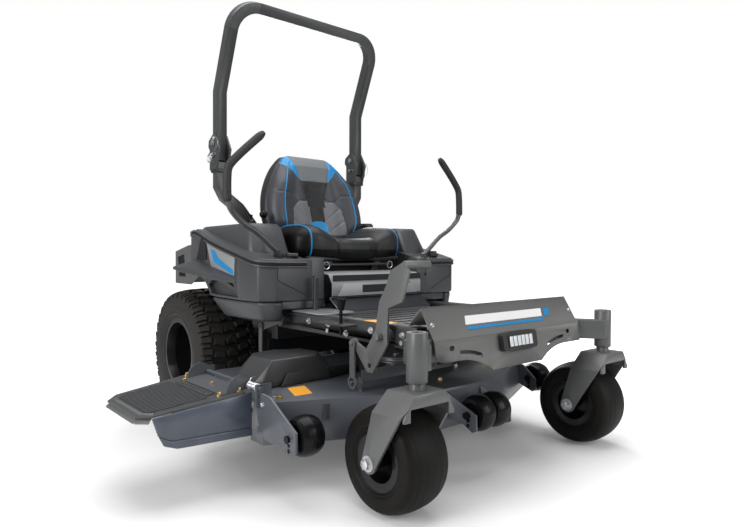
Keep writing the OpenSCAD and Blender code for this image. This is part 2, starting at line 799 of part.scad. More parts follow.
// Pressed and welded cutting deck, open below and on the right
module deck_shell() {
  lower = deck_outline;
  upper = inset(deck_outline, deck_slope);
  t = deck_plate;
  rz = roller_z;
  color("#5c6270") difference() {
    union() {
      hull() {
        along_z(deck_top - 1, deck_top) polygon(upper);
        along_z(deck_lip_z, deck_lip_z + 1) polygon(lower);
      }
      along_z(deck_bottom, deck_lip_z) polygon(lower);
      // Low wall between the belt covers
      block([-345, -1039, deck_top], [165, -1035, deck_top + 45]);
      // Spindle housings
      for (s = spindles) {
        bar_z(s[0], s[1], 212, 332, 42);
        bar_z(s[0], s[1], deck_top, deck_top + 8, 80);
      }
      // Ears for the lift links
      both_sides() for (y = [front_shaft_y, rear_shaft_y] + [lift_arm[0], lift_arm[0]])
        along_x(ear_x[0], ear_x[1]) {
          translate([y, lift_z + lift_arm[1] - link_len]) circle(r = 22);
          translate([y - 22, deck_top - 4]) square([44, 36]);
        }
      // Lugs that carry the chute rod
      for (y = [-1076, -662]) block([-812, y, deck_top - 13], [-756, y + 6, chute_hinge_at[1] + 12]);
      // Right roller plate
      along_x(-798, -789) polygon([[-1045, 336], [-1134, 330], [-1281, 250], [-1283, 186],
                                    [-1266, 178], [-1103, 192], [-1060, 240]]);
      // Left roller bracket
      along_x(494, 503) polygon(roller_bracket(roller_left_at[1]));
      // Centre roller bracket
      for (x = [-184, 4]) along_x(x, x + 8) polygon([
        [-1454, 232], [-1456, 178], [-1438, 170], [-1400, 190], [-1316, 200], [-1316, 290]]);
    }
    // Hollow underside
    hull() {
      along_z(deck_top - t - 1, deck_top - t) polygon(inset(upper, t));
      along_z(deck_lip_z, deck_lip_z + 1) polygon(inset(lower, t));
    }
    along_z(deck_bottom - eps, deck_lip_z + eps) polygon(inset(lower, t));
    // Discharge opening
    block([-810, -1000, deck_bottom - eps], [-760, -620, deck_top - t - 8]);
    for (s = spindles) bar_z(s[0], s[1], 200, 340, stem_r + fit);
    bar_y(chute_hinge_at[0], -1090, -600, chute_hinge_at[1], chute_rod_r + fit);
    // Height holes of the roller brackets
    for (z = [0, -18, -36]) {
      bar_x(-805, -780, roller_right_at[1], rz + z, roller_bolt_r + fit);
      bar_x(490, 507, roller_left_at[1], rz + z, roller_bolt_r + fit);
      bar_x(-190, 20, roller_centre_at[1], rz + z, roller_bolt_r + fit);
    }
  }
  color("#5c6270") for (s = spindles) difference() {
    bar_z(s[0], s[1], 212, deck_top - t, 42);
    bar_z(s[0], s[1], 200, 340, stem_r + fit);
  }
  // Bolts that the lift links and the rollers hang on
  color("silver") both_sides() for (y = [front_shaft_y, rear_shaft_y])
    bar_x(ear_x[1] - 2, 474, y + lift_arm[0], lift_z + lift_arm[1] - link_len, lift_pin_r);
}

// Chamfered cover over each outer spindle pulley
module belt_covers() {
  t = 3;
  for (x = [-735, 165]) color("#1f2023") difference() {
    cover_solid(x, 0);
    cover_solid(x, t);
    block([x + t, -1035 + t, deck_top - eps], [x + 390 - t, -590 - t, deck_top + 6]);
  }
}

// Solid chamfered block that stands on the deck, moved inwards by t
module cover_solid(x, t) {
  w = 390;
  base = [[x, -1035], [x + w, -1035], [x + w, -590], [x, -590]];
  hull() {
    along_z(deck_top + (t > 0 ? -1 : 0), deck_top + 46) polygon(inset(base, t));
    along_z(deck_top + 108 - t, deck_top + 109 - t) polygon(inset(base, 66 + t));
  }
}

// Ribbed rubber discharge chute, built flat and tilted about its hinge
module chute() {
  plan = [[-24, -1020], [-24, -615], [-315, -650], [-358, -700], [-358, -960], [-330, -1000]];
  top = -14;
  depth = 90;
  wall = 6;
  h = chute_hinge_at;
  color("#222325") translate([h[0], 0, h[1]]) rotate([0, -chute_slope, 0]) difference() {
    union() {
      along_z(top - depth, top) polygon(plan);
      // Ribs on the top
      for (i = [0 : 15]) translate([-300, -984 + i * 20, top - 0.5]) cube([150, 9, 4.5]);
    }
    along_z(top - depth - eps, top - wall) polygon(inset(plan, wall));
    // Open towards the deck and at the outer end
    block([-40, -1013, top - depth - eps], [-20, -622, top - wall]);
    block([-370, -950, top - depth - eps], [-340, -708, top - 34]);
  }
}

// Bracket with two round ears that carries the chute, and its rod
module chute_hinge() {
  h = chute_hinge_at;
  color("#555a64") {
    translate([h[0], 0, h[1]]) rotate([0, -chute_slope, 0]) {
      block([-96, -1000, -13.9], [-8, -690, -9]);
      difference() {
        for (y = [-1000, -696]) {
          bar_y(-30, y, y + 6, -10, 46);
          bar_y(0, y, y + 6, 0, 12);
        }
        block([-100, -1010, -80], [40, -680, -13.9]);
      }
    }
  }
  color("silver") bar_y(h[0], -1086, -650, h[1], chute_rod_r);
}

// Barrel-shaped anti-scalp roller, drawn as (radius, across)
module roller_body(x, y) {
  r = roller_d / 2;
  w = roller_w / 2;
  profile = concat([[roller_bolt_r, -w + 4], [16, -w + 4], [16, -w + 20], [34, -w + 16], [40, -w]],
                   [for (a = [-60 : 15 : 60]) [r - 22 + 22 * cos(a), (w - 2) * sin(a) / sin(60)]],
                   [[40, w], [34, w - 16], [16, w - 20], [16, w - 4], [roller_bolt_r, w - 4]]);
  turned_x(x, y, roller_z) polygon(profile);
}

// Roller with the bolt that turns in the bracket
module roller(at, out) {
  color("#1a1a1b") roller_body(at[0], at[1]);
  color("silver") {
    bar_x(at[0] - 62, at[0] + 44, at[1], roller_z, roller_bolt_r);
    hex_x(at[0] - 70, at[0] - 61, at[1], roller_z, 13);
    hex_x(at[0] + 42, at[0] + 52, at[1], roller_z, 13);
  }
}

// Two centre rollers on one bolt
module roller_centre() {
  at = roller_centre_at;
  color("#1a1a1b") for (x = [-41.5, 41.5]) roller_body(at[0] + x, at[1]);
  color("silver") {
    bar_x(at[0] - 104, at[0] + 106, at[1], roller_z, roller_bolt_r);
    hex_x(at[0] - 111, at[0] - 98, at[1], roller_z, 13);
    hex_x(at[0] + 100, at[0] + 110, at[1], roller_z, 13);
  }
}

// Blade with its spindle shaft, pulley and bolt
module blade(i) {
  at = spindles[i];
  groove = [[stem_r, 340], [70, 340], [70, 343], [62, 348], [62, 354], [70, 359], [70, 362],
            [stem_r, 362]];
  translate([at[0], at[1], 0]) {
    color("#6f7276") difference() {
      union() {
        block([-blade_r + 4, -30, 190], [blade_r - 4, 30, 196]);
        block([-blade_r + 4, 14, 196], [-blade_r + 110, 30, 206]);
        block([blade_r - 110, -30, 196], [blade_r - 4, -14, 206]);
      }
      bar_z(0, 0, 180, 200, stem_r);
    }
    color("silver") {
      bar_z(0, 0, 182, 372, stem_r);
      bar_z(0, 0, 196, 210, 30);
      translate([0, 0, 176]) cylinder(h = 14, r = 18, $fn = 6);
    }
    color("#2a2b2d") rotate_extrude($fn = 96) polygon(groove);
  }
}

// ---------- deck lift ----------

// Arm with an eye, side view, from a pivot to its pin
module lift_arm_plate(y) {
  along_x(arm_x[0], arm_x[1]) {
    polygon(strip([[y, lift_z], [y, lift_z] + lift_arm], 30));
    translate([y, lift_z]) circle(r = 24);
    translate([y, lift_z] + lift_arm) circle(r = 18);
  }
}

// Foot pedal plate with its foot bar, shaft, left arm and link pins
module lift_pedal() {
  y = front_shaft_y;
  pin = [y, lift_z] + lift_arm;
  plate = [[-1384, 757], [-1412, 730], [-1379, 629], [-1312, 605], [-1307, 483], [-1232, 378],
           [-1203, 378], [-1142, 448], [-1122, 484], [-1199, 455], [-1249, 526], [-1267, 622],
           [-1305, 683], [-1322, 728]];
  color("gray") {
    difference() {
      union() {
        along_x(-arm_x[1], -arm_x[0]) {
          polygon(plate);
          translate(pin) circle(r = 19);
        }
        bar_x(-472, 462, y, lift_z, lift_shaft_r);
        bar_x(-arm_x[0], -rail_x - 0.5, y, lift_z, 24);
        bar_x(-arm_x[1], -348, -1390, 748, 13);
        block([-arm_x[1], -1396, 690], [-440, -1330, 698]);
      }
      bar_x(-480, -440, -1217, 402, 9);
    }
    lift_arm_plate(y);
  }
  color("silver") {
    both_sides() bar_x(arm_x[0] - 6, 474, pin[0], pin[1], lift_pin_r);
    hex_x(-482, -472, y, lift_z, 16);
  }
}

// Rear lift shaft with an arm and a pin at each end
module rear_lift_shaft() {
  y = rear_shaft_y;
  pin = [y, lift_z] + lift_arm;
  color("gray") {
    bar_x(-462, 462, y, lift_z, lift_shaft_r);
    both_sides() lift_arm_plate(y);
  }
  color("silver") both_sides() bar_x(arm_x[0] - 6, 474, pin[0], pin[1], lift_pin_r);
}

// Pair of links that hang on the lift arms and carry the deck
module lift_links(y) {
  top = [y, lift_z] + lift_arm;
  low = top - [0, link_len];
  color("gray") both_sides() difference() {
    along_x(link_x[0], link_x[1]) {
      polygon(strip([top, low], 26));
      translate(top) circle(r = 16);
      translate(low) circle(r = 23);
    }
    bar_x(455, 475, top[0], top[1], lift_pin_r + fit);
    bar_x(455, 475, low[0], low[1], link_slot_r);
  }
}

// ---------- seat ----------

// Tilting plate under the seat, with slide rails and two latch rings
module seat_plate() {
  color("#1b1b1c") {
    block([-215, -572, 728], [215, -190, 734]);
    bar_x(-215, 215, -566, 731, 7);
    for (x = [-160, 130]) block([x, -560, 734], [x + 30, -200, 744]);
  }
}

// Plastic pan and back shell
module seat_shell() {
  color("#141416") {
    along_x(-235, 235) polygon(strip([[-585, 751], [-250, 751], [-205, 770],
                                      [-160, 900], [-118, 1180], [-122, 1258]], 12));
    for (x = [-157, 133]) block([x, -540, 744.2], [x + 24, -260, 752]);
  }
}

// Seat cushion with raised side bolsters
module seat_cushion() {
  w = cushion_w / 2;
  color("#2a2c30") hull() for (s = [-1, 1]) {
    translate([s * (w - 70), -560, 800]) sphere(r = 30, $fn = 24);
    translate([s * (w - 45), -540, 838]) sphere(r = 42, $fn = 24);
    translate([s * (w - 45), -300, 850]) sphere(r = 42, $fn = 24);
    translate([s * (w - 60), -290, 812]) sphere(r = 30, $fn = 24);
    translate([s * 150, -560, 784]) sphere(r = 26, $fn = 24);
    translate([s * 150, -290, 784]) sphere(r = 26, $fn = 24);
  }
}

// Backrest with side bolsters and a narrower head part
module seat_back() {
  w = back_w / 2;
  color("#2a2c30") hull() for (s = [-1, 1]) {
    translate([s * (w - 30), -250, 950]) sphere(r = 30, $fn = 24);
    translate([s * (w - 60), -205, 1180]) sphere(r = 28, $fn = 24);
    translate([s * 105, -172, back_top - 26]) sphere(r = 26, $fn = 24);
    translate([s * (w - 60), -236, 912]) sphere(r = 28, $fn = 24);
  }
}

// ---------- small controls ----------

// Throttle lever behind the right pod crown
module throttle_lever() {
  color("#18181a") {
    bar_x(-412, -396, -300, 926, 9);
    rod([-404, -300, 926], [-404, -294, 962], 4);
    rod([-404, -306, 954], [-404, -278, 964], 7);
  }
}

// Parking brake lever with a ball knob, beside the seat
module brake_lever() {
  x = -323.5;
  color("silver") rod([x, -287, 760], [x, -277, 952], 6);
  color("#18181a") {
    translate([x, -276, 966]) sphere(r = 19);
    bar_x(x - 7, x + 7, -287, 752, 14);
  }
}

// Pin that sets the lowest cutting height, with an upright grip
module height_pin() {
  color("#1b1b1d") {
    bar_z(-345, pin_y, rail_top + 5.2, rail_top + 22, 13);
    bar_z(-345, pin_y, rail_top + 22, rail_top + 132, 11);
    translate([-345, pin_y, rail_top + 132]) sphere(r = 11 + joint_proud);
  }
  color("silver") bar_z(-345, pin_y, rail_top + 0.5, rail_top + 5.2, 6);
}

// Transport lock knob on its shaft
module lock_knob() {
  color("silver") bar_z(-445, -1040, 486, 576, 6);
  color("#1b1b1d") {
    translate([-445, -1040, 576]) cylinder(h = 34, r1 = 11, r2 = 18);
    bar_z(-445, -1040, 610, 618, 19);
  }
}

// Electric clutch and pulley on the engine crankshaft
module crank_pulley() {
  color("#3a3b3e") {
    bar_z(0, engine_y, 345, 474, 20);
    translate([0, engine_y, 0]) rotate_extrude($fn = 96)
      polygon([[10, 352], [75, 352], [75, 356], [64, 362], [64, 368], [75, 374], [75, 378],
               [62, 380], [62, 420], [10, 420]]);
  }
}

main_frame();
front_axle();
nose_cover();
work_light();
floor_pan();
seat_base_panel();
index_plate();
pod(right);  // pod_right
pod(left);  // pod_left
fuel_caps();
rops_legs();
engine_block();
engine_shroud();
muffler();
engine_guard();
transaxles();
caster_bearings();
frame_bolts();
rops_hoop();
rops_pin(right);  // rops_pin_right
rops_pin(left);  // rops_pin_left
caster_fork(right);  // caster_fork_right
caster_fork(left);  // caster_fork_left
caster_rim(right);  // caster_rim_right
caster_rim(left);  // caster_rim_left
caster_tyre(right);  // caster_tyre_right
caster_tyre(left);  // caster_tyre_left
drive_rim(right);  // drive_rim_right
drive_rim(left);  // drive_rim_left
drive_tyre(right);  // drive_tyre_right
drive_tyre(left);  // drive_tyre_left
lever_base(right);  // lever_base_right
lever_base(left);  // lever_base_left
lever_tube(right);  // lever_tube_right
lever_tube(left);  // lever_tube_left
lever_grip(right);  // lever_grip_right
lever_grip(left);  // lever_grip_left
deck_shell();
belt_covers();
chute_hinge();
chute();
roller(roller_right_at);  // roller_right
roller(roller_left_at);  // roller_left
roller_centre();
blade(0);  // blade_right
blade(1);  // blade_centre
blade(2);  // blade_left
lift_pedal();
rear_lift_shaft();
lift_links(front_shaft_y);  // front_lift_links
lift_links(rear_shaft_y);  // rear_lift_links
seat_plate();
seat_shell();
seat_cushion();
seat_back();
throttle_lever();
brake_lever();
height_pin();
lock_knob();
crank_pulley();
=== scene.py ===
# %% [markdown]
# # A zero turn mower, dressed over its CAD frame
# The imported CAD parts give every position. This script adds materials and the moulded, sewn and
# rolled pieces that a plain solid leaves out, then sets up a small studio.

# %% Load the frame
import math

import bmesh
import bpy
from mathutils import Matrix, Vector


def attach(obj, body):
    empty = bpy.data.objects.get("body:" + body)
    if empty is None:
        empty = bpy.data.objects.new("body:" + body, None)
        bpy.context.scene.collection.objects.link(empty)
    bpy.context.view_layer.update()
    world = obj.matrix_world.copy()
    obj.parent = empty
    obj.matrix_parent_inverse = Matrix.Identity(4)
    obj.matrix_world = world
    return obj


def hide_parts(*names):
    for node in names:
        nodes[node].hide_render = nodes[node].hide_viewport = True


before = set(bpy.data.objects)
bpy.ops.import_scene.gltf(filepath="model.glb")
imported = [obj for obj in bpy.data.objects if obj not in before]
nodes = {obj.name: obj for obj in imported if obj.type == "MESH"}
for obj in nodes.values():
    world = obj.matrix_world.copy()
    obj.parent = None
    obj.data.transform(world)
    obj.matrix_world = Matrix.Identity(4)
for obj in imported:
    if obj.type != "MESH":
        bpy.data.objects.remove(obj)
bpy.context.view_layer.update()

scene = bpy.context.scene

# %% [markdown]
# ## Camera
# The camera comes first, so every later cell can be judged from the same place.

# %% Camera
cam_data = bpy.data.cameras.new("camera")
cam_data.lens = 28.71
cam_data.sensor_width = 36
cam_data.shift_y = -0.0081
camera = bpy.data.objects.new("camera", cam_data)
scene.collection.objects.link(camera)
forward = Vector((0.6509, 0.7592, -0.0087)).normalized()
camera.location = (-1.767, -2.772, 0.788)
camera.rotation_mode = "QUATERNION"
camera.rotation_quaternion = forward.to_track_quat("-Z", "Y") @ Matrix.Rotation(
    math.radians(0.12), 3, "Z").to_quaternion()
cam_data.clip_end = 60
scene.camera = camera
scene.view_settings.view_transform = "Standard"

# %% [markdown]
# ## Materials
# One shared node group makes the slow drift in tone and the fine grain of a real surface.
# Each material mixes its colour with it, so no surface is one flat colour.

# %% The shared surface group
group = bpy.data.node_groups.new("surface_grain", "ShaderNodeTree")
face = group.interface
for name, value in (("Drift scale", 6.0), ("Grain scale", 600.0), ("Depth", 0.1)):
    socket = face.new_socket(name=name, in_out="INPUT", socket_type="NodeSocketFloat")
    socket.default_value = value
face.new_socket(name="Mask", in_out="OUTPUT", socket_type="NodeSocketFloat")
face.new_socket(name="Normal", in_out="OUTPUT", socket_type="NodeSocketVector")
inputs = group.nodes.new("NodeGroupInput")
outputs = group.nodes.new("NodeGroupOutput")
place = group.nodes.new("ShaderNodeTexCoord")
drift = group.nodes.new("ShaderNodeTexNoise")
drift.inputs["Detail"].default_value = 4
grain = group.nodes.new("ShaderNodeTexNoise")
grain.inputs["Detail"].default_value = 2
bump = group.nodes.new("ShaderNodeBump")
bump.inputs["Distance"].default_value = 0.0006
link = group.links.new
link(place.outputs["Object"], drift.inputs["Vector"])
link(place.outputs["Object"], grain.inputs["Vector"])
link(inputs.outputs["Drift scale"], drift.inputs["Scale"])
link(inputs.outputs["Grain scale"], grain.inputs["Scale"])
link(inputs.outputs["Depth"], bump.inputs["Strength"])
link(grain.outputs["Fac"], bump.inputs["Height"])
link(drift.outputs["Fac"], outputs.inputs["Mask"])
link(bump.outputs["Normal"], outputs.inputs["Normal"])


def material(name, colour, rough, metal=0.0, drift=6.0, grain=600.0, depth=0.1, vary=0.12,
             coat=0.0, spec=0.5):
    """A procedural surface: colour drifts by vary either way and carries a fine grain."""
    m = bpy.data.materials.new(name)
    m.use_nodes = True
    tree = m.node_tree
    shader = tree.nodes["Principled BSDF"]
    g = tree.nodes.new("ShaderNodeGroup")
    g.node_tree = group
    g.inputs["Drift scale"].default_value = drift
    g.inputs["Grain scale"].default_value = grain
    g.inputs["Depth"].default_value = depth
    mix = tree.nodes.new("ShaderNodeMix")
    mix.data_type = "RGBA"
    mix.inputs["A"].default_value = (*[c * (1 - vary) for c in colour], 1)
    mix.inputs["B"].default_value = (*[min(1, c * (1 + vary)) for c in colour], 1)
    rough_range = tree.nodes.new("ShaderNodeMapRange")
    rough_range.inputs["To Min"].default_value = max(0.03, rough - 0.06)
    rough_range.inputs["To Max"].default_value = min(1.0, rough + 0.06)
    wire = tree.links.new
    wire(g.outputs["Mask"], mix.inputs["Factor"])
    wire(mix.outputs["Result"], shader.inputs["Base Color"])
    wire(g.outputs["Mask"], rough_range.inputs["Value"])
    wire(rough_range.outputs["Result"], shader.inputs["Roughness"])
    wire(g.outputs["Normal"], shader.inputs["Normal"])
    shader.inputs["Metallic"].default_value = metal
    shader.inputs["Coat Weight"].default_value = coat
    shader.inputs["Coat Roughness"].default_value = 0.15
    shader.inputs["Specular IOR Level"].default_value = spec
    m.diffuse_color = (*colour, 1)
    return m


# %% The palette
M = {
    "frame": material("frame_paint", (0.085, 0.087, 0.088), 0.42, depth=0.06, coat=0.15),
    "fork": material("fork_paint", (0.098, 0.10, 0.099), 0.40, depth=0.06, coat=0.15),
    "nose": material("nose_paint", (0.125, 0.125, 0.122), 0.45, depth=0.06, coat=0.1),
    "dark_frame": material("dark_frame_paint", (0.035, 0.036, 0.038), 0.45, depth=0.08),
    "hoop": material("hoop_paint", (0.04, 0.042, 0.043), 0.42, depth=0.06, coat=0.15),
    "deck": material("deck_paint", (0.075, 0.082, 0.096), 0.38, depth=0.05, coat=0.2),
    "hinge": material("hinge_paint", (0.075, 0.08, 0.09), 0.4, depth=0.05, coat=0.15),
    "pod": material("pod_plastic", (0.044, 0.046, 0.050), 0.40, grain=900, depth=0.25),
    "cover": material("cover_plastic", (0.035, 0.036, 0.038), 0.4, grain=900, depth=0.2),
    "black": material("black_plastic", (0.014, 0.014, 0.015), 0.42, grain=900, depth=0.2),
    "gloss": material("gloss_black", (0.005, 0.005, 0.006), 0.25, depth=0.02, spec=0.16),
    # Near-black colour for painted shadow in grooves, slots, holes and vents
    "painted_shadow": material("deep_shadow", (0.004, 0.004, 0.004), 0.8),
    "rim": material("rim_paint", (0.006, 0.006, 0.007), 0.24, depth=0.02, spec=0.4),
    "tyre": material("drive_rubber", (0.018, 0.0165, 0.015), 0.62, drift=30, grain=500, depth=0.4,
                     vary=0.45, spec=0.3),
    "caster": material("caster_rubber", (0.0085, 0.0078, 0.0072), 0.5, drift=20, grain=500,
                       depth=0.2, vary=0.4, spec=0.12),
    "chute": material("chute_rubber", (0.05, 0.051, 0.054), 0.42, grain=700, depth=0.25),
    "chute_wall": material("chute_wall", (0.066, 0.078, 0.105), 0.24, drift=14, grain=80,
                           depth=0.3, vary=0.35, coat=0.2),
    "lip": material("chute_rib", (0.062, 0.064, 0.067), 0.42, grain=700, depth=0.25),
    "chute_edge": material("chute_edge", (0.10, 0.102, 0.102), 0.5, grain=300, depth=0.3),
    "zinc": material("zinc_steel", (0.62, 0.63, 0.65), 0.28, metal=1.0, depth=0.05),
    "yellow_zinc": material("yellow_zinc", (0.72, 0.5, 0.2), 0.3, metal=1.0, depth=0.05),
    "steel": material("brushed_plate", (0.55, 0.56, 0.58), 0.34, metal=0.9, drift=40, depth=0.1),
    "blade": material("blade_steel", (0.3, 0.3, 0.31), 0.5, metal=0.8),
    "alloy": material("cast_alloy", (0.2, 0.2, 0.205), 0.55, metal=0.5, grain=300, depth=0.4),
    "muffler": material("muffler_metal", (0.05, 0.045, 0.042), 0.6, metal=0.3, vary=0.3),
    "base": material("base_paint", (0.26, 0.27, 0.28), 0.42, depth=0.05, coat=0.1),
    # Dark panel colour, also used for the painted shade sheets under the seat
    "navy": material("dark_panel_and_shade", (0.012, 0.0135, 0.018), 0.45, depth=0.1, spec=0.3),
    "vinyl": material("seat_vinyl", (0.036, 0.039, 0.048), 0.46, grain=450, depth=0.3),
    "vinyl_dark": material("seat_vinyl_dark", (0.012, 0.0125, 0.014), 0.46, grain=450,
                           depth=0.3, spec=0.35),
    "vinyl_black": material("seat_vinyl_black", (0.0045, 0.0045, 0.005), 0.38, grain=450,
                            depth=0.3, spec=0.16),
    "vinyl_grey": material("seat_patch", (0.125, 0.135, 0.145), 0.55, grain=450, depth=0.3),
    "vinyl_light": material("seat_insert", (0.12, 0.125, 0.135), 0.5, grain=350, depth=0.4),
    "blue": material("blue_trim", (0.0, 0.20, 0.47), 0.4, grain=450, depth=0.2, vary=0.08),
    "plate": material("side_plate", (0.3, 0.31, 0.32), 0.4, metal=0.3, depth=0.05),
    "yellow": material("yellow_label", (0.82, 0.37, 0.03), 0.45, vary=0.08),
    "white": material("white_label", (0.75, 0.75, 0.75), 0.45, vary=0.05),
    "foam": material("grip_foam", (0.016, 0.016, 0.017), 0.65, grain=500, depth=0.5),
    "lever": material("lever_paint", (0.06, 0.062, 0.066), 0.3, metal=0.2, coat=0.3),
}
lens = M["lens"] = material("lamp_lens", (0.62, 0.66, 0.68), 0.12, depth=0.05, coat=0.5)
lens.node_tree.nodes["Principled BSDF"].inputs["Emission Color"].default_value = (0.9, 0.95, 1, 1)
lens.node_tree.nodes["Principled BSDF"].inputs["Emission Strength"].default_value = 0.05
print("materials", len(M))

# %% Paint the CAD nodes
paint = {
    "frame": "front_axle rear_lift_shaft front_lift_links rear_lift_links engine_guard",
    "dark_frame": "main_frame floor_pan seat_plate crank_pulley transaxles lever_base_right "
                  "lever_base_left",
    "fork": "caster_fork_right caster_fork_left lift_pedal", "nose": "nose_cover",
    "black": "work_light fuel_caps height_pin seat_shell engine_shroud",
    "gloss": "throttle_lever brake_lever lock_knob roller_right roller_left roller_centre",
    "base": "seat_base_panel", "steel": "index_plate", "pod": "pod_right pod_left",
    "hoop": "rops_legs rops_hoop", "alloy": "engine_block", "muffler": "muffler",
    "zinc": "caster_bearings frame_bolts rops_pin_right rops_pin_left",
    "rim": "caster_rim_right caster_rim_left drive_rim_right drive_rim_left",
    "caster": "caster_tyre_right caster_tyre_left", "tyre": "drive_tyre_right drive_tyre_left",
    "lever": "lever_tube_right lever_tube_left", "foam": "lever_grip_right lever_grip_left",
    "deck": "deck_shell", "cover": "belt_covers", "chute": "chute", "hinge": "chute_hinge",
    "blade": "blade_right blade_centre blade_left", "vinyl": "seat_cushion seat_back"}
for key, names in paint.items():
    for name in names.split():
        nodes[name].data.materials.clear()
        nodes[name].data.materials.append(M[key])


def soften(name, width, segments=2, angle=32):
    """Rounds the edges of a CAD node with modifiers only, so that its own mesh is untouched."""
    o = nodes[name]
    weld = o.modifiers.new("weld", "WELD")
    weld.merge_threshold = 0.00003
    bevel = o.modifiers.new("bevel", "BEVEL")
    bevel.width = width
    bevel.segments = segments
    bevel.limit_method = "ANGLE"
    bevel.angle_limit = math.radians(angle)
    bevel.use_clamp_overlap = True
    bevel.harden_normals = True
    for p in o.data.polygons:
        p.use_smooth = True


for name in ("rops_hoop", "rops_legs", "front_axle", "main_frame", "nose_cover", "belt_covers",
             "caster_fork_right", "caster_fork_left", "lift_pedal", "deck_shell",
             "seat_base_panel"):
    soften(name, 0.0025, 2)
print("painted", sum(len(v.split()) for v in paint.values()))

# %% [markdown]
# ## Small building tools
# Every new piece is built around the origin of the shared frame, in metres, and rides on a body.
# Pieces that come in pairs are built once for each side, with x multiplied by its sign.


# %% Tools
SIDES = (("right", -1), ("left", 1))
DRIVE_X = 0.495
CASTER_AXLE = (0.532, -1.427, 0.165)


def as_object(bm, name):
    """Turns the mesh being built into an object of the scene."""
    mesh = bpy.data.meshes.new(name)
    bm.to_mesh(mesh)
    bm.free()
    o = bpy.data.objects.new(name, mesh)
    scene.collection.objects.link(o)
    return o


def finish_piece(bm, name, body, mats, sharp=0.6):
    """Closes a piece: outward normals, sharp edges marked, placed on its body."""
    bmesh.ops.recalc_face_normals(bm, faces=bm.faces[:])
    for f in bm.faces:
        f.smooth = True
    for e in bm.edges:
        if len(e.link_faces) == 2 and e.calc_face_angle(0) > sharp:
            e.smooth = False
    o = as_object(bm, name)
    for key in mats.split():
        o.data.materials.append(M[key])
    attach(o, body)
    return o


def add_prism(bm, points, depth, mat=0, bevel=0.0, segments=2):
    """A flat outline of 3D points, extruded by the vector depth, with rounded edges."""
    verts = [bm.verts.new(p) for p in points]
    base = bm.faces.new(verts)
    made = bmesh.ops.extrude_face_region(bm, geom=[base])
    moved = [g for g in made["geom"] if isinstance(g, bmesh.types.BMVert)]
    bmesh.ops.translate(bm, verts=moved, vec=depth)
    faces = {f for v in verts + moved for f in v.link_faces}
    for f in faces:
        f.material_index = mat
    bmesh.ops.recalc_face_normals(bm, faces=list(faces))
    if bevel:
        edges = list({e for f in faces for e in f.edges})
        bmesh.ops.bevel(bm, geom=edges, offset=bevel, segments=segments, affect="EDGES",
                        profile=0.5, material=-1)


def add_box(bm, low, high, mat=0, bevel=0.0, matrix=None, segments=2):
    """A box between two corners, then moved by matrix."""
    low, high = Vector(low), Vector(high)
    made = bmesh.ops.create_cube(bm, size=1)
    verts = made["verts"]
    for v in verts:
        v.co = Vector([(low[i] + high[i]) / 2 + v.co[i] * (high[i] - low[i]) for i in range(3)])
        if matrix:
            v.co = matrix @ v.co
    faces = {f for v in verts for f in v.link_faces}
    for f in faces:
        f.material_index = mat
    if bevel:
        edges = list({e for f in faces for e in f.edges})
        bmesh.ops.bevel(bm, geom=edges, offset=bevel, segments=segments, affect="EDGES",
                        profile=0.5, material=-1)


def add_turned(bm, profile, centre, axis, mat=0, steps=32):
    """A profile of (radius, along) pairs turned about an axis through centre."""
    axis = Vector(axis).normalized()
    side = axis.orthogonal().normalized()
    centre = Vector(centre)
    verts = [bm.verts.new(centre + side * max(r, 1e-5) + axis * h) for r, h in profile]
    edges = [bm.edges.new(pair) for pair in zip(verts, verts[1:])]
    before = set(bm.faces)
    bmesh.ops.spin(bm, geom=verts + edges, cent=centre, axis=axis, angle=2 * math.pi, steps=steps,
                   use_merge=True)
    faces = [f for f in bm.faces if f not in before]
    bmesh.ops.remove_doubles(bm, verts=list({v for f in faces for v in f.verts}), dist=2e-5)
    for f in [f for f in bm.faces if f not in before]:
        f.material_index = mat


def smooth_path(points, steps=8):
    """Catmull-Rom points through a list of corners."""
    pts = [Vector(p) for p in points]
    pts = [2 * pts[0] - pts[1], *pts, 2 * pts[-1] - pts[-2]]
    out = []
    for a, b, c, d in zip(pts, pts[1:], pts[2:], pts[3:]):
        for k in range(steps):
            t = k / steps
            out.append(0.5 * (2 * b + (c - a) * t + (2 * a - 5 * b + 4 * c - d) * t * t
                              + (3 * b - a - 3 * c + d) * t ** 3))
    out.append(pts[-2])
    return out


def add_tube(bm, points, radius, mat=0, sides=16, radii=None):
    """A round tube along points, closed at both ends."""
    previous, rings = None, []
    for i, p in enumerate(points):
        ahead = (points[min(i + 1, len(points) - 1)] - points[max(i - 1, 0)]).normalized()
        if previous is None:
            side = ahead.orthogonal().normalized()
        else:
            side = (previous - ahead * previous.dot(ahead)).normalized()
        previous = side
        other = ahead.cross(side)
        turn = Matrix((side, other, ahead)).transposed().to_4x4()
        r = radii[i] if radii else radius
        made = bmesh.ops.create_circle(bm, segments=sides, radius=r,
                                       matrix=Matrix.Translation(p) @ turn)
        rings.append(made["verts"])
    before = set(bm.faces)
    for a, b in zip(rings, rings[1:]):
        for k in range(sides):
            bm.faces.new((a[k], a[(k + 1) % sides], b[(k + 1) % sides], b[k]))
    bm.faces.new(rings[0])
    bm.faces.new(list(reversed(rings[-1])))
    for f in set(bm.faces) - before:
        f.material_index = mat


def add_bolt(bm, at, axis, r=0.009, h=0.007, mat=0):
    """A hexagonal bolt head with its washer, standing on a surface."""
    add_turned(bm, [(0, -0.002), (r * 1.5, -0.002), (r * 1.5, 0.0015), (0, 0.0015)], at, axis,
               mat, 20)
    add_turned(bm, [(0, 0.0012), (r, 0.0012), (r, h), (r * 0.8, h + 0.0015), (0, h + 0.0015)], at,
               axis, mat, 6)


def lathe(profile, centre, name, body, mats, steps=128):
    """One turned piece about an axis across the machine."""
    bm = bmesh.new()
    add_turned(bm, profile, centre, (1, 0, 0), 0, steps)
    return finish_piece(bm, name, body, mats, sharp=0.7)


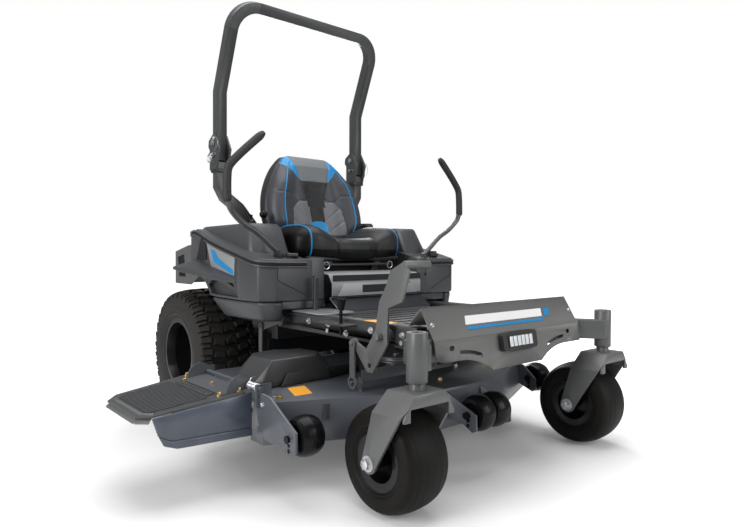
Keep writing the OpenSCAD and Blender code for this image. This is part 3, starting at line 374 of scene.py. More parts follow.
# %% Cutting and rounding tools
def cut_by(bm, through, normal):
    """Trims a closed piece with one plane and closes the cut."""
    bmesh.ops.bisect_plane(bm, geom=bm.verts[:] + bm.edges[:] + bm.faces[:], plane_co=through,
                           plane_no=normal, clear_outer=True)
    bmesh.ops.holes_fill(bm, edges=[e for e in bm.edges if e.is_boundary])


def round_edges(bm, width, segments=3, angle=0.4):
    """Rounds every edge sharper than angle."""
    edges = [e for e in bm.edges if len(e.link_faces) == 2 and e.calc_face_angle(0) > angle]
    bmesh.ops.bevel(bm, geom=edges, offset=width, segments=segments, affect="EDGES", profile=0.5,
                    material=-1)


def hull_of(points, width, segments=3):
    """The hull of some points with rounded edges."""
    bm = bmesh.new()
    bmesh.ops.convex_hull(bm, input=[bm.verts.new(p) for p in points])
    bmesh.ops.dissolve_limit(bm, angle_limit=0.02, verts=bm.verts[:], edges=bm.edges[:])
    round_edges(bm, width, segments, 0.2)
    return bm


def carve(o, cutters):
    """Cuts recesses out of a piece with the boolean modifier, then keeps the result."""
    for k, c in enumerate(cutters):
        mod = o.modifiers.new("cut%d" % k, "BOOLEAN")
        mod.operation = "DIFFERENCE"
        mod.solver = "EXACT"
        mod.object = c
    done = bpy.data.meshes.new_from_object(
        o.evaluated_get(bpy.context.evaluated_depsgraph_get()))
    o.modifiers.clear()
    o.data = done
    for c in cutters:
        bpy.data.objects.remove(c)


def mirrored(sign, pts):
    """Points for one side of the machine."""
    return [Vector((sign * x, y, z)) for x, y, z in pts]


# %% [markdown]
# ## Drive tyres
# A carcass is turned, then blocks are laid on it: a centre chevron, a slanted block and a
# shoulder block on each side, at even pitches round the wheel.

# %% Drive tyres
TYRE_R, TYRE_W, PITCHES = 0.305, 0.145, 34


def tread_radius(x):
    a = math.asin(max(-1, min(1, x / TYRE_W * math.sin(math.radians(80)))))
    return TYRE_R - 0.070 + 0.070 * max(0.0, math.cos(a)) ** 0.4


# Outlines of the blocks, as (share of the pitch, distance across)
BLOCKS = [
    [(0.05, 0.0), (0.33, 0.022), (0.80, 0.026), (0.62, 0.0)],
    [(0.05, 0.0), (0.62, 0.0), (0.80, -0.026), (0.33, -0.022)],
    [(0.42, 0.031), (0.28, 0.060), (0.22, 0.082), (0.72, 0.086), (0.76, 0.062), (0.92, 0.034)],
    [(0.02, 0.090), (-0.02, 0.108), (0.00, 0.126), (0.02, 0.137), (0.50, 0.139), (0.52, 0.126),
     (0.52, 0.108), (0.56, 0.092)],
    [(0.62, 0.100), (0.62, 0.118), (0.64, 0.134), (0.92, 0.134), (0.92, 0.118), (0.92, 0.100)],
]
for side, sign in SIDES:
    centre = Vector((sign * DRIVE_X, 0, TYRE_R))
    bm = bmesh.new()
    tread = []
    for a in range(-80, 81, 8):
        x = TYRE_W * math.sin(math.radians(a)) / math.sin(math.radians(80))
        tread.append((tread_radius(x) - 0.013, x * 0.97))
    bead = lambda s: [(0.1445, s * 0.088), (0.1655, s * 0.121), (0.1658, s * 0.130),
                      (0.172, s * 0.134), (0.178, s * 0.1325), (0.190, s * 0.141),
                      (0.202, s * 0.1405), (0.204, s * 0.1425), (0.222, s * 0.1425),
                      (0.224, s * 0.1405), (0.240, s * 0.141)]
    profile = bead(-1) + tread[1:-1] + list(reversed(bead(1)))
    add_turned(bm, profile, centre, (1, 0, 0), 0, 120)
    pitch = 2 * math.pi / PITCHES
    for k in range(PITCHES):
        for shape in BLOCKS:
            for mirror in ((1,) if abs(shape[0][1]) < 1e-6 else (1, -1)):
                shift = 0.5 if mirror < 0 else 0
                lo, hi = [], []
                cx = sum(p[1] for p in shape) / len(shape)
                ct = sum(p[0] for p in shape) / len(shape)
                for t, x in shape:
                    for ring, lift, shrink in ((lo, -0.017, 1.0), (hi, -0.0006, 0.86)):
                        tt, xx = ct + (t - ct) * shrink, (cx + (x - cx) * shrink) * mirror
                        ang = (k + tt + shift) * pitch
                        r = tread_radius(xx) + lift
                        ring.append(bm.verts.new(centre + Vector(
                            (xx * sign, r * math.cos(ang), r * math.sin(ang)))))
                n = len(lo)
                bm.faces.new(hi)
                for i in range(n):
                    bm.faces.new((lo[i], lo[(i + 1) % n], hi[(i + 1) % n], hi[i]))
                bm.faces.new(list(reversed(lo)))
    tyre = finish_piece(bm, "drive_tyre_skin_" + side, "drive_wheel_" + side, "tyre", sharp=0.5)
    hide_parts("drive_tyre_" + side)
print("tread blocks", PITCHES * (2 + 2 * (len(BLOCKS) - 2)))

# %% [markdown]
# ## Caster tyres and wheel details

# %% Caster tyres
for side, sign in SIDES:
    centre = Vector((sign * CASTER_AXLE[0], *CASTER_AXLE[1:]))
    wall = []
    for i in range(41):
        a = math.radians(-80 + 4 * i)
        x = 0.084 * math.sin(a) / math.sin(math.radians(80))
        groove = 0.0012 if abs(abs(x) - 0.055) < 0.002 or abs(abs(x) - 0.03) < 0.0016 else 0
        wall.append((0.165 - 0.042 + 0.042 * max(0, math.cos(a)) ** 0.55 - groove, x))
    bead = lambda s: [(0.0746, s * 0.0595), (0.0925, s * 0.0655), (0.0925, s * 0.0728),
                      (0.098, s * 0.078), (0.103, s * 0.0775), (0.108, s * 0.082),
                      (0.116, s * 0.0825)]
    tyre = lathe(bead(-1) + wall[1:-1] + list(reversed(bead(1))), centre,
                 "caster_tyre_skin_" + side, "caster_%s_wheel" % side, "caster")
    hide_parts("caster_tyre_" + side)

# %% [markdown]
# ## Steering levers
# The CAD tubes are straight runs with round joints. These are the same runs as one smooth bend.

# %% Levers
tube_points = [(0.430, -0.600, 0.778), (0.475, -0.600, 0.816), (0.540, -0.600, 0.868),
               (0.604, -0.602, 0.904), (0.645, -0.606, 0.938), (0.668, -0.612, 0.966),
               (0.680, -0.615, 1.000)]
grip_points = [(0.680, -0.615, 0.985), (0.681, -0.614, 1.03), (0.680, -0.613, 1.08),
               (0.675, -0.612, 1.118), (0.655, -0.612, 1.148), (0.60, -0.615, 1.203),
               (0.521, -0.619, 1.275)]
for side, sign in SIDES:
    turned = lambda pts: smooth_path([(sign * x, y, z) for x, y, z in pts])
    bm = bmesh.new()
    add_tube(bm, turned(tube_points), 0.0125, sides=24)
    add_turned(bm, [(0, -0.015), (0.013, -0.015), (0.013, 0.015), (0, 0.015)],
               (sign * 0.422, -0.6, 0.772), (0, 1, 0), 0, 24)
    o = finish_piece(bm, "lever_bar_" + side, "lever_arm_" + side, "lever")
    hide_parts("lever_tube_" + side)
    bm = bmesh.new()
    path = turned(grip_points)
    n = len(path)
    radii = [0.017 * (0.62 + 0.38 * min(1, i / 2.0, (n - 1 - i) / 2.0) ** 0.5) for i in range(n)]
    add_tube(bm, path, 0.017, sides=24, radii=radii)
    o = finish_piece(bm, "lever_foam_" + side, "lever_arm_" + side, "foam")
    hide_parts("lever_grip_" + side)
print("levers done")

# %% [markdown]
# ## Seat
# The seat is two upholstered volumes. Each is a stack of rounded rings, and the regions of
# vinyl are chosen by where a face lies, with a shallow groove along each seam.


# %% Seat tools
def ease(t, a, b):
    t = max(0.0, min(1.0, (t - a) / (b - a)))
    return t * t * (3 - 2 * t)


def curve(table, t):
    """Smooth value at t from a short list of (t, value), without ripples between them."""
    n = len(table)
    i = max(0, min(n - 2, next((k for k in range(n - 1) if t <= table[k + 1][0]), n - 2)))
    slope = lambda a, b: (table[b][1] - table[a][1]) / (table[b][0] - table[a][0])
    (t0, v0), (t1, v1) = table[i], table[i + 1]
    h = t1 - t0
    m0, m1 = slope(max(i - 1, 0), i + 1), slope(i, min(i + 2, n - 1))
    u = max(0.0, min(1.0, (t - t0) / h))
    return ((2 * u ** 3 - 3 * u * u + 1) * v0 + (u ** 3 - 2 * u * u + u) * h * m0
            + (3 * u * u - 2 * u ** 3) * v1 + (u ** 3 - u * u) * h * m1)


def power(c, e):
    return math.copysign(abs(c) ** e, c)


def inside(p, outline):
    hit = False
    for (x0, y0), (x1, y1) in zip(outline, outline[1:] + outline[:1]):
        if (y0 > p[1]) != (y1 > p[1]) and p[0] < (x1 - x0) * (p[1] - y0) / (y1 - y0) + x0:
            hit = not hit
    return hit


def seam_distance(p, lines):
    best = 1.0
    for line in lines:
        for a, b in zip(line, line[1:]):
            ax, ay, bx, by = *a, *b
            d = (bx - ax) ** 2 + (by - ay) ** 2
            t = max(0, min(1, ((p[0] - ax) * (bx - ax) + (p[1] - ay) * (by - ay)) / d))
            best = min(best, math.hypot(p[0] - ax - t * (bx - ax), p[1] - ay - t * (by - ay)))
    return best


def stacked(rings_of, count, around):
    """A closed body from rings of points, with each end closed by one flat face."""
    bm = bmesh.new()
    rings = []
    for i in range(count):
        rings.append([bm.verts.new(rings_of(i / (count - 1), 2 * math.pi * k / around))
                      for k in range(around)])
    for a, b in zip(rings, rings[1:]):
        for k in range(around):
            bm.faces.new((a[k], a[(k + 1) % around], b[(k + 1) % around], b[k]))
    bm.faces.new(rings[0])
    bm.faces.new(list(reversed(rings[-1])))
    return bm


# %% Backrest
PATCH = [(-0.118, 1.29), (-0.085, 1.150), (0.085, 1.150), (0.118, 1.29)]
COLUMN = [(-0.083, 1.150), (-0.040, 0.99), (-0.030, 0.86), (0.030, 0.86), (0.040, 0.99),
          (0.083, 1.150)]
WEDGE = [(0.118, 1.29), (0.20, 1.262), (0.176, 1.232), (0.140, 1.208), (0.085, 1.150)]
HEX = [(0.052, 1.048), (0.110, 1.045), (0.148, 1.008), (0.172, 0.86), (0.034, 0.86),
       (0.044, 0.985)]
ARCH = [(-0.062, 0.86), (-0.05, 0.925), (-0.03, 0.945), (0.03, 0.945), (0.05, 0.925),
        (0.062, 0.86)]
SEAMS = [[(0.083, 1.150), (0.052, 1.048)], [(0.052, 1.048), (0.110, 1.045), (0.148, 1.008),
                                            (0.172, 0.86)],
         [(0.110, 1.045), (0.150, 1.082), (0.29, 1.088)], [(0.046, 0.95), (0.140, 1.018)],
         [(0.05, 0.885), (0.158, 0.955)], PATCH[:2] + [(0.0, 1.150)],
         [(0.083, 1.15), (0.118, 1.29)],
         [(0.03, 0.86), (0.04, 0.99), (0.083, 1.15)]]
WIDTH = [(0.845, 0.225), (0.90, 0.262), (0.97, 0.276), (1.06, 0.266), (1.14, 0.236),
         (1.20, 0.200), (1.245, 0.164), (1.268, 0.140), (1.279, 0.120)]


def back_point(s, a):
    z = 0.845 + (1.2795 - 0.845) * (1 - (1 - s) ** 1.35)
    end = min(1.0, max(0.0, (1.2815 - z) / 0.055)) ** 0.5 * min(1.0, (z - 0.835) / 0.04) ** 0.5
    w = curve(WIDTH, z)
    x = w * power(math.cos(a), 0.62)
    lean = -0.240 + (z - 0.9) * 0.235
    share = abs(x) / w
    bolster = 0.052 * ease(share, 0.45, 0.92) * ease(z, 0.86, 0.95) * (1 - ease(z, 1.12, 1.24))
    depth = 0.052 * end * power(math.sin(a), 0.6)
    hollow = 0.012 * (1 - ease(abs(x), 0.03, 0.10)) * (1 - ease(z, 1.10, 1.16))
    front = max(0.0, -math.sin(a)) ** 0.5
    y = lean + depth - (bolster - hollow) * front
    if front > 0.4:
        d = seam_distance((abs(x), z), SEAMS)
        y += 0.004 * math.exp(-(d / 0.004) ** 2)
    return Vector((x, y, z))


bm = stacked(back_point, 150, 260)
for f in bm.faces:
    c = f.calc_center_median()
    p, q = (c.x, c.z), (abs(c.x), c.z)
    f.material_index = 0
    if f.normal.y > 0.35:
        f.material_index = 1
    elif inside(p, ARCH):
        f.material_index = 4
    elif inside(p, PATCH):
        f.material_index = 2
    elif inside(q, WEDGE):
        f.material_index = 4
    elif inside(p, COLUMN):
        f.material_index = 1
    elif inside(q, HEX):
        f.material_index = 3
back = finish_piece(bm, "seat_back_cover", "seat", "vinyl vinyl_dark vinyl_grey vinyl_light blue",
                    sharp=1.4)
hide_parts("seat_back")

# %% Cushion
def cushion_point(s, a):
    x = -0.312 + 0.624 * s
    u = abs(x) / 0.312
    end = max(0.0, 1 - u ** 7) ** 0.5
    top = 0.866 + 0.054 * ease(abs(x), 0.08, 0.235) - 0.010 * ease(abs(x), 0.25, 0.31)
    low = 0.736
    zc, hz = (top + low) / 2, (top - low) / 2 * (0.42 + 0.58 * end)
    swell = ease(abs(x), 0.05, 0.12) * (1 - ease(abs(x), 0.12, 0.24))
    front = -0.608 + 0.03 * u ** 3 + 0.012 * swell
    rear = -0.262 - 0.01 * u ** 3
    yc, hy = (front + rear) / 2, (rear - front) / 2 * (0.62 + 0.38 * end)
    y = yc + hy * power(math.cos(a), 0.72)
    z = zc + hz * power(math.sin(a), 0.66)
    upper = max(0.0, math.sin(a))
    dip = 0.026 * (1 - ease(abs(x), 0.02, 0.2)) * ease(y, -0.60, -0.45) * upper
    d = min(abs(abs(x) - 0.118), abs(abs(x) - 0.262) * 1.4)
    z -= dip + (0.005 * math.exp(-(d / 0.004) ** 2) if upper > 0 else 0.0)
    y += 0.005 * math.exp(-(d / 0.004) ** 2) * max(0, -math.cos(a))
    if y > -0.575:
        z = max(z, 0.7525)
    return Vector((x, y, z))


bm = stacked(cushion_point, 180, 150)
for f in bm.faces:
    c = f.calc_center_median()
    f.material_index = 0
    if abs(c.x) > 0.262 or c.z < 0.80:
        f.material_index = 2
    elif c.y < -0.50 or abs(c.x) > 0.118:
        f.material_index = 1
cushion = finish_piece(bm, "seat_cushion_cover", "seat", "vinyl vinyl_dark vinyl_black", sharp=1.4)
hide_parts("seat_cushion")

# %% Piping and shell of the seat
PIPING = 0.262 / 0.318  # share of the cushion's half width
bm = bmesh.new()
for sign in (-1, 1):
    s = (1 + sign * PIPING) / 2
    path = [cushion_point(s, math.radians(a)) for a in range(30, 216, 6)]
    add_tube(bm, path, 0.0032, sides=8)
    a = math.radians(-48 if sign > 0 else 180 + 48)
    path = [back_point(t / 40, a) + Vector((0, -0.001, 0)) for t in range(2, 35)]
    add_tube(bm, path, 0.0032, sides=8)
finish_piece(bm, "seat_piping", "seat", "blue")


def shell_point(s, a):
    p = back_point(s * 0.94 + 0.01, a)
    z, w = p.z, curve(WIDTH, p.z)
    x = (w + 0.008) * power(math.cos(a), 0.55)
    y = -0.240 + (z - 0.9) * 0.235 + 0.022 + 0.062 * power(math.sin(a), 0.55) * (
        0.4 + 0.6 * min(1, (1.29 - z) / 0.08))
    y = min(y, -0.105)
    return Vector((x, max(y, -0.240 + (z - 0.9) * 0.235 - 0.012), z))


bm = stacked(shell_point, 50, 80)
o = finish_piece(bm, "seat_back_shell", "seat", "black", sharp=1.2)
bm = bmesh.new()
add_box(bm, (-0.272, -0.575, 0.748), (0.272, -0.23, 0.772), bevel=0.008, segments=3)
for x in (-0.145, 0.145):
    add_box(bm, (x - 0.012, -0.54, 0.7442), (x + 0.012, -0.26, 0.752))
    add_box(bm, (x - 0.02, -0.25, 0.75), (x + 0.02, -0.18, 0.80), bevel=0.004)
base = finish_piece(bm, "seat_pan", "seat", "black")
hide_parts("seat_shell")
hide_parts("seat_shell")
print("seat covers", len(back.data.polygons) + len(cushion.data.polygons))

# %% Fork bolts
FORK_FACE = 0.1073  # from the wheel's middle to the outside of a fork leg
for side, sign in SIDES:
    bm = bmesh.new()
    for out in (-1, 1):
        at = (sign * CASTER_AXLE[0] + out * FORK_FACE, *CASTER_AXLE[1:])
        tall = 0.0165 if out == sign else 0.0205
        add_turned(bm, [(0, 0), (0.024, 0), (0.024, 0.0025), (0, 0.0025)], at, (out, 0, 0), 0, 28)
        add_turned(bm, [(0, 0.002), (0.0168, 0.002), (0.0168, tall), (0.014, tall + 0.0015),
                        (0, tall + 0.0015)], at, (out, 0, 0), 0, 6)
    finish_piece(bm, "fork_bolt_" + side, "caster_%s_swivel" % side, "zinc")
print("fork bolts done")

# %% [markdown]
# ## Discharge chute
# Built flat in its own frame, then tilted with the hinge.

# %% Chute
HINGE = Matrix.Translation((-0.8, 0, 0.35)) @ Matrix.Rotation(math.radians(-6.5), 4, "Y")
MIDDLE = Vector((-0.19, -0.82, 0))
PLAN = [(-0.024, -1.020), (-0.330, -1.000), (-0.358, -0.960), (-0.358, -0.700), (-0.315, -0.650),
        (-0.024, -0.615)]


def in_plan(bm, margin):
    """Trims geometry to the chute's outline, moved inwards by margin."""
    n = len(PLAN)
    for i in range(n):
        a, b = Vector((*PLAN[i], 0)), Vector((*PLAN[(i + 1) % n], 0))
        out = (b - a).cross(Vector((0, 0, 1))).normalized()
        if out.dot(MIDDLE - a) > 0:
            out = -out
        cut_by(bm, a - out * margin, out)


bm = bmesh.new()
add_prism(bm, [(x, y, -0.014) for x, y in PLAN], Vector((0, 0, -0.006)))
for (x0, y0), (x1, y1) in zip(PLAN, PLAN[1:]):
    outer_end = x0 + x1 < -0.64
    drop = 0.006 if outer_end else 0.088
    d0 = Vector((x1 - x0, y1 - y0, 0)).normalized()
    nrm = Vector((-d0.y, d0.x, 0))
    if nrm.dot(MIDDLE - Vector((x0, y0, 0))) < 0:
        nrm = -nrm
    if not outer_end:
        x0, x1 = max(x0, -0.262), max(x1, -0.262)
    a, b = Vector((x0, y0, -0.0145)), Vector((x1, y1, -0.0145))
    add_prism(bm, [a, b, b + nrm * 0.006, a + nrm * 0.006], Vector((0, 0, -drop)), bevel=0.0015)
    if not outer_end:
        add_prism(bm, [a - nrm * 0.004, b - nrm * 0.004, b + nrm * 0.004, a + nrm * 0.004],
                  Vector((0, 0, -0.016)), bevel=0.002)
bm.transform(HINGE)
o = finish_piece(bm, "chute_body", "chute_flap", "chute")
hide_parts("chute")

# Front wall: a glossy pressed face that reaches down level, with a lower band and a curved end
bm = bmesh.new()
wall_top = [(-0.800, 0.329), (-0.90, 0.317), (-1.00, 0.306), (-1.07, 0.298), (-1.118, 0.292)]
wall_low = [(-0.800, 0.212), (-0.90, 0.214), (-1.00, 0.215), (-1.06, 0.216), (-1.100, 0.236)]
band_low = [(-0.800, 0.187), (-0.90, 0.189), (-1.00, 0.190), (-1.045, 0.191), (-1.085, 0.206)]
y_at = lambda x: -1.0225 - (x + 0.83) * 0.066


def wall_strip(upper, lower, proud, bevel):
    pts = [Vector((x, y_at(x) - proud, z)) for x, z in upper]
    pts += [Vector((x, y_at(x) - proud, z)) for x, z in reversed(lower)]
    add_prism(bm, pts, Vector((0, 0.010, 0)), 0, bevel=bevel)


wall_strip(wall_top, wall_low, 0.003, 0.002)
wall_strip(wall_low, band_low, 0.007, 0.003)
finish_piece(bm, "chute_front_wall", "chute_flap", "chute_wall", sharp=0.9)

# Ribs, skewed across the top
bm = bmesh.new()
for i in range(46):
    turn = Matrix.Translation((-0.2, -1.12 + i * 0.0155, 0)) @ Matrix.Rotation(
        math.radians(-14), 4, "Z")
    add_box(bm, (-0.25, -0.0034, -0.0145), (0.25, 0.0034, -0.0105), matrix=turn)
in_plan(bm, 0.034)
cut_by(bm, (-0.135, 0, 0), (1, 0, 0))
bm.transform(HINGE)
finish_piece(bm, "chute_ribs", "chute_flap", "lip")

# Outer lip, with small teeth along its inner side
bm = bmesh.new()
LIP = [(-0.327, -1.0), (-0.356, -0.960), (-0.356, -0.702), (-0.314, -0.652)]
for (x0, y0), (x1, y1) in zip(LIP, LIP[1:]):
    a, b = Vector((x0, y0, -0.0135)), Vector((x1, y1, -0.0135))
    d0 = (b - a).normalized()
    nrm = Vector((d0.y, -d0.x, 0))
    if nrm.x < 0:
        nrm = -nrm
    slope = nrm * 0.010 + Vector((0, 0, 0.020))
    add_prism(bm, [a - slope, b - slope, b + nrm * 0.022, a + nrm * 0.022],
              Vector((0, 0, 0.0035)), bevel=0.001)
    steps = int((b - a).length / 0.010)
    for k in range(steps):
        p = a + (b - a) * ((k + 0.5) / steps) + nrm * 0.024
        turn = Matrix.Translation(p) @ Matrix.Rotation(math.atan2(d0.y, d0.x), 4, "Z")
        add_box(bm, (-0.003, -0.0035, -0.001), (0.003, 0.0035, 0.0028), matrix=turn)
bm.transform(HINGE)
finish_piece(bm, "chute_lip", "chute_flap", "chute_edge")

# Raised plaque near the hinge, without lettering
bm = bmesh.new()
add_box(bm, (-0.128, -0.955, -0.0145), (-0.102, -0.700, -0.0095), bevel=0.002)
for k in range(9):
    add_box(bm, (-0.123, -0.945 + k * 0.028, -0.010), (-0.107, -0.925 + k * 0.028, -0.008))
bm.transform(HINGE)
finish_piece(bm, "chute_plaque", "chute_flap", "chute")

# Bolts and the coil spring on the rod
bm = bmesh.new()
for x, y in ((-0.020, -0.995), (-0.045, -0.845), (-0.045, -0.64), (-0.085, -0.985),
             (-0.085, -0.71)):
    add_bolt(bm, HINGE @ Vector((x - 0.012, y, -0.0138)), (0.11, 0, 1), 0.007, 0.010)
finish_piece(bm, "chute_bolts", "chute_flap", "yellow_zinc")
bm = bmesh.new()
path = []
for k in range(14 * 12 + 1):
    a = 2 * math.pi * k / 12
    path.append(Vector((-0.8 + 0.0115 * math.cos(a), -1.066 + 0.0040 * k / 12,
                        0.35 + 0.0115 * math.sin(a))))
add_tube(bm, path, 0.0019, sides=6)
add_tube(bm, smooth_path([(-0.8, -1.010, 0.3615), (-0.79, -1.005, 0.37), (-0.775, -1.0, 0.372)], 6),
         0.0019, sides=6)
finish_piece(bm, "chute_spring", "deck", "zinc")
print("chute done")

# %% [markdown]
# ## Deck details

# %% Deck
SPINDLE_OFFSET = 0.09  # the outer spindles sit this far right of being even about the middle
FOOT = [(-0.712, -0.885), (-0.690, -0.912), (-0.400, -0.912), (-0.345, -0.850), (-0.335, -0.700),
        (-0.370, -0.640), (-0.520, -0.620), (-0.660, -0.660), (-0.712, -0.750)]
CROWN = [(-0.649, -0.903), (-0.461, -0.903), (-0.400, -0.830), (-0.420, -0.735), (-0.520, -0.690),
         (-0.620, -0.710), (-0.652, -0.760)]
COVER = [(x, y, z) for z in (0.3005, 0.326) for x, y in FOOT] + [(x, y, 0.398) for x, y in CROWN]
bm = bmesh.new()
add_prism(bm, [(-0.612, -0.945, 0.3002), (-0.657, -1.063, 0.3002), (-0.588, -1.067, 0.3002),
               (-0.543, -0.949, 0.3002)], Vector((0, 0, 0.0006)))
finish_piece(bm, "deck_label", "deck", "yellow")
bm = bmesh.new()
for x, y in ((-0.745, -1.02), (-0.715, -1.06), (-0.745, -0.62), (-0.09, -1.20), (0.30, -1.10)):
    add_bolt(bm, (x, y, 0.3), (0, 0, 1), 0.0075, 0.009)
finish_piece(bm, "deck_bolts", "deck", "yellow_zinc")
bm = bmesh.new()
for x in (-0.725, -0.355, 0.175, 0.545):
    add_bolt(bm, (x, -1.045, 0.3), (0, 0, 1), 0.006, 0.007)
add_bolt(bm, (-0.798, -1.245, 0.226), (-1, 0, 0), 0.009, 0.008)
add_bolt(bm, (-0.798, -1.09, 0.30), (-1, 0, 0), 0.007, 0.006)
finish_piece(bm, "deck_screws", "deck", "zinc")
bm = bmesh.new()
add_prism(bm, [(-0.62, -1.168, 0.236), (-0.60, -1.177, 0.236), (-0.60, -1.182, 0.29),
               (-0.62, -1.173, 0.29)], Vector((0.0, -0.004, 0)), bevel=0.001)
finish_piece(bm, "deck_tab", "deck", "dark_frame")

# Chamfered belt covers with a low wall in front of each
bm = bmesh.new()
for flip in (False, True):
    place = (lambda q: Vector((-q[0] - 2 * SPINDLE_OFFSET, *q[1:]))) if flip else Vector
    part_bm = hull_of([place(q) for q in COVER], 0.006)
    part_mesh = bpy.data.meshes.new("cover_part")
    part_bm.to_mesh(part_mesh)
    part_bm.free()
    bm.from_mesh(part_mesh)
    bpy.data.meshes.remove(part_mesh)
    wall = [place(q) for q in ((-0.628, -0.928, 0.300), (-0.223, -0.876, 0.300),
                               (-0.228, -0.876, 0.338), (-0.600, -0.926, 0.345))]
    add_prism(bm, wall, Vector((0, 0.004, 0)), bevel=0.001)
cover = finish_piece(bm, "belt_cover_body", "deck", "cover", sharp=1.0)
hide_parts("belt_covers")
print("deck done")

# %% [markdown]
# ## Fender pods
# Each pod is cut from its side outline, with two recesses in its side. A crown, a skirt, a fin,
# rim lines, a plain side plate and the lever hardware are laid on it.

# %% Pods
ARCH_R = 0.386  # wheel arch, about the drive axle
ARC = [(-ARCH_R * math.sin(t), TYRE_R + ARCH_R * math.cos(t)) for t in
       [math.radians(a) for a in (42, 36, 30, 24, 18)]]
SIDE_VIEW = [(-0.706, 0.587), *ARC, (-0.02, 0.700), (0.075, 0.735), (0.08, 0.878), (-0.04, 0.897),
             (-0.64, 0.762), (-0.706, 0.758)]
UPPER = [(-0.505, 0.768), (-0.497, 0.640), (-0.300, 0.708), (-0.165, 0.735), (-0.092, 0.748),
         (-0.150, 0.862), (-0.215, 0.848)]
LOWER = [(-0.535, 0.600), (-0.505, 0.628), (-0.30, 0.672), (-0.235, 0.640), (-0.285, 0.604)]
for side, sign in SIDES:
    bm = bmesh.new()
    add_prism(bm, mirrored(sign, [(0.337, y, z) for y, z in SIDE_VIEW]),
              Vector((sign * 0.255, 0, 0)))
    for (x0, y0), (x1, y1) in (((0.515, -0.706), (0.572, -0.66)), ((0.572, -0.66), (0.590, -0.56)),
                               ((0.590, -0.30), (0.54, 0.05)), ((0.54, 0.05), (0.50, 0.08))):
        cut_by(bm, (sign * x0, y0, 0), (sign * (y1 - y0), x0 - x1, 0))
    round_edges(bm, 0.007, 3)
    body = finish_piece(bm, "pod_body_" + side, "chassis", "pod", sharp=0.9)
    cutters = []
    for outline, depth in ((UPPER, 0.012), (LOWER, 0.03)):
        cb = bmesh.new()
        add_prism(cb, mirrored(sign, [(0.591 - depth, y, z) for y, z in outline]),
                  Vector((sign * 0.08, 0, 0)))
        bmesh.ops.recalc_face_normals(cb, faces=cb.faces[:])
        cutters.append(as_object(cb, "cutter"))
    bpy.context.view_layer.update()
    carve(body, cutters)
    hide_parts("pod_" + side)
    # Inner front part, crown, skirt and side fin
    plan = [(0.277, -0.7055), (0.345, -0.7055), (0.345, -0.60), (0.277, -0.64)]
    bm = hull_of(mirrored(sign, [(x, y, z) for z in (0.588, 0.761) for x, y in plan]), 0.005)
    finish_piece(bm, "pod_inner_" + side, "chassis", "pod", sharp=0.9)
    low = [(0.345, -0.552, 0.765), (0.475, -0.560, 0.765), (0.530, -0.515, 0.775),
           (0.515, 0.045, 0.86), (0.47, 0.062, 0.85), (0.345, 0.062, 0.85), (0.345, -0.545, 0.74)]
    high = [(0.350, -0.478, 0.912), (0.462, -0.482, 0.912), (0.502, -0.450, 0.915),
            (0.492, 0.01, 0.912), (0.46, 0.03, 0.912), (0.350, 0.03, 0.912),
            (0.42, -0.30, 0.916), (0.36, -0.30, 0.915)]
    bm = hull_of(mirrored(sign, low + high), 0.016, 4)
    finish_piece(bm, "pod_crown_" + side, "chassis", "pod", sharp=1.0)
    top = [(0.476, -0.700), (0.517, -0.700), (0.566, -0.655), (0.582, -0.56), (0.582, -0.262),
           (0.476, -0.262)]
    foot = [(0.476, -0.690), (0.510, -0.690), (0.545, -0.650), (0.556, -0.56), (0.556, -0.345),
            (0.476, -0.345)]
    bm = hull_of(mirrored(sign, [(*q, 0.586) for q in top] + [(*q, 0.507) for q in foot]), 0.012, 4)
    finish_piece(bm, "pod_skirt_" + side, "chassis", "pod", sharp=1.0)
    plan = [(0.262, -0.690), (0.478, -0.690), (0.478, -0.46), (0.345, -0.46), (0.262, -0.62)]
    bm = hull_of(mirrored(sign, [(x, y, z) for z in (0.553, 0.5865) for x, y in plan]), 0.004)
    finish_piece(bm, "pod_skirt_inner_" + side, "chassis", "pod", sharp=1.0)
    fin = [(0.580, -0.505, 0.655), (0.594, -0.500, 0.657), (0.594, -0.500, 0.672),
           (0.580, -0.505, 0.684), (0.625, -0.34, 0.668), (0.655, -0.10, 0.694),
           (0.661, -0.02, 0.706), (0.661, -0.02, 0.718), (0.650, -0.10, 0.716),
           (0.622, -0.34, 0.690), (0.575, -0.14, 0.748), (0.545, -0.01, 0.752),
           (0.56, -0.02, 0.700), (0.575, -0.14, 0.690)]
    bm = hull_of(mirrored(sign, fin), 0.004, 3)
    finish_piece(bm, "pod_fin_" + side, "chassis", "pod", sharp=1.0)
    # Double rim line down the side and across the front
    line = [(0.5425, 0.045, 0.884), (0.557, -0.05, 0.886), (0.5915, -0.295, 0.834),
            (0.5915, -0.55, 0.777), (0.5765, -0.655, 0.752), (0.520, -0.7055, 0.746),
            (0.47, -0.7070, 0.745), (0.37, -0.7070, 0.744)]
    bm = bmesh.new()
    for drop in (0.0, -0.018):
        pts = mirrored(sign, [(x, y, z + drop) for x, y, z in line])
        add_tube(bm, smooth_path(pts, 6), 0.0042, sides=10)
    finish_piece(bm, "pod_rim_" + side, "chassis", "pod")
    bm = bmesh.new()
    # Painted shadow in the groove between the two rim lines
    groove = [(x - 0.001, y + 0.001, z - 0.009) for x, y, z in line]
    add_tube(bm, smooth_path(mirrored(sign, groove), 6), 0.0042, sides=8)
    # Painted shadow in the seam and crease of the front panel, its slot and its hole
    crease = [(0.509, 0.735), (0.509, 0.680), (0.503, 0.672), (0.372, 0.610)]
    add_tube(bm, mirrored(sign, [(x, -0.7066, z) for x, z in crease]), 0.0014, sides=6)
    add_box(bm, (sign * 0.405 - 0.034, -0.7078, 0.7285), (sign * 0.405 + 0.034, -0.704, 0.7415))
    add_turned(bm, [(0, -0.001), (0.007, -0.001), (0.007, 0.0014), (0, 0.0014)],
               (sign * 0.330, -0.706, 0.682), (0, -1, 0), 0, 16)
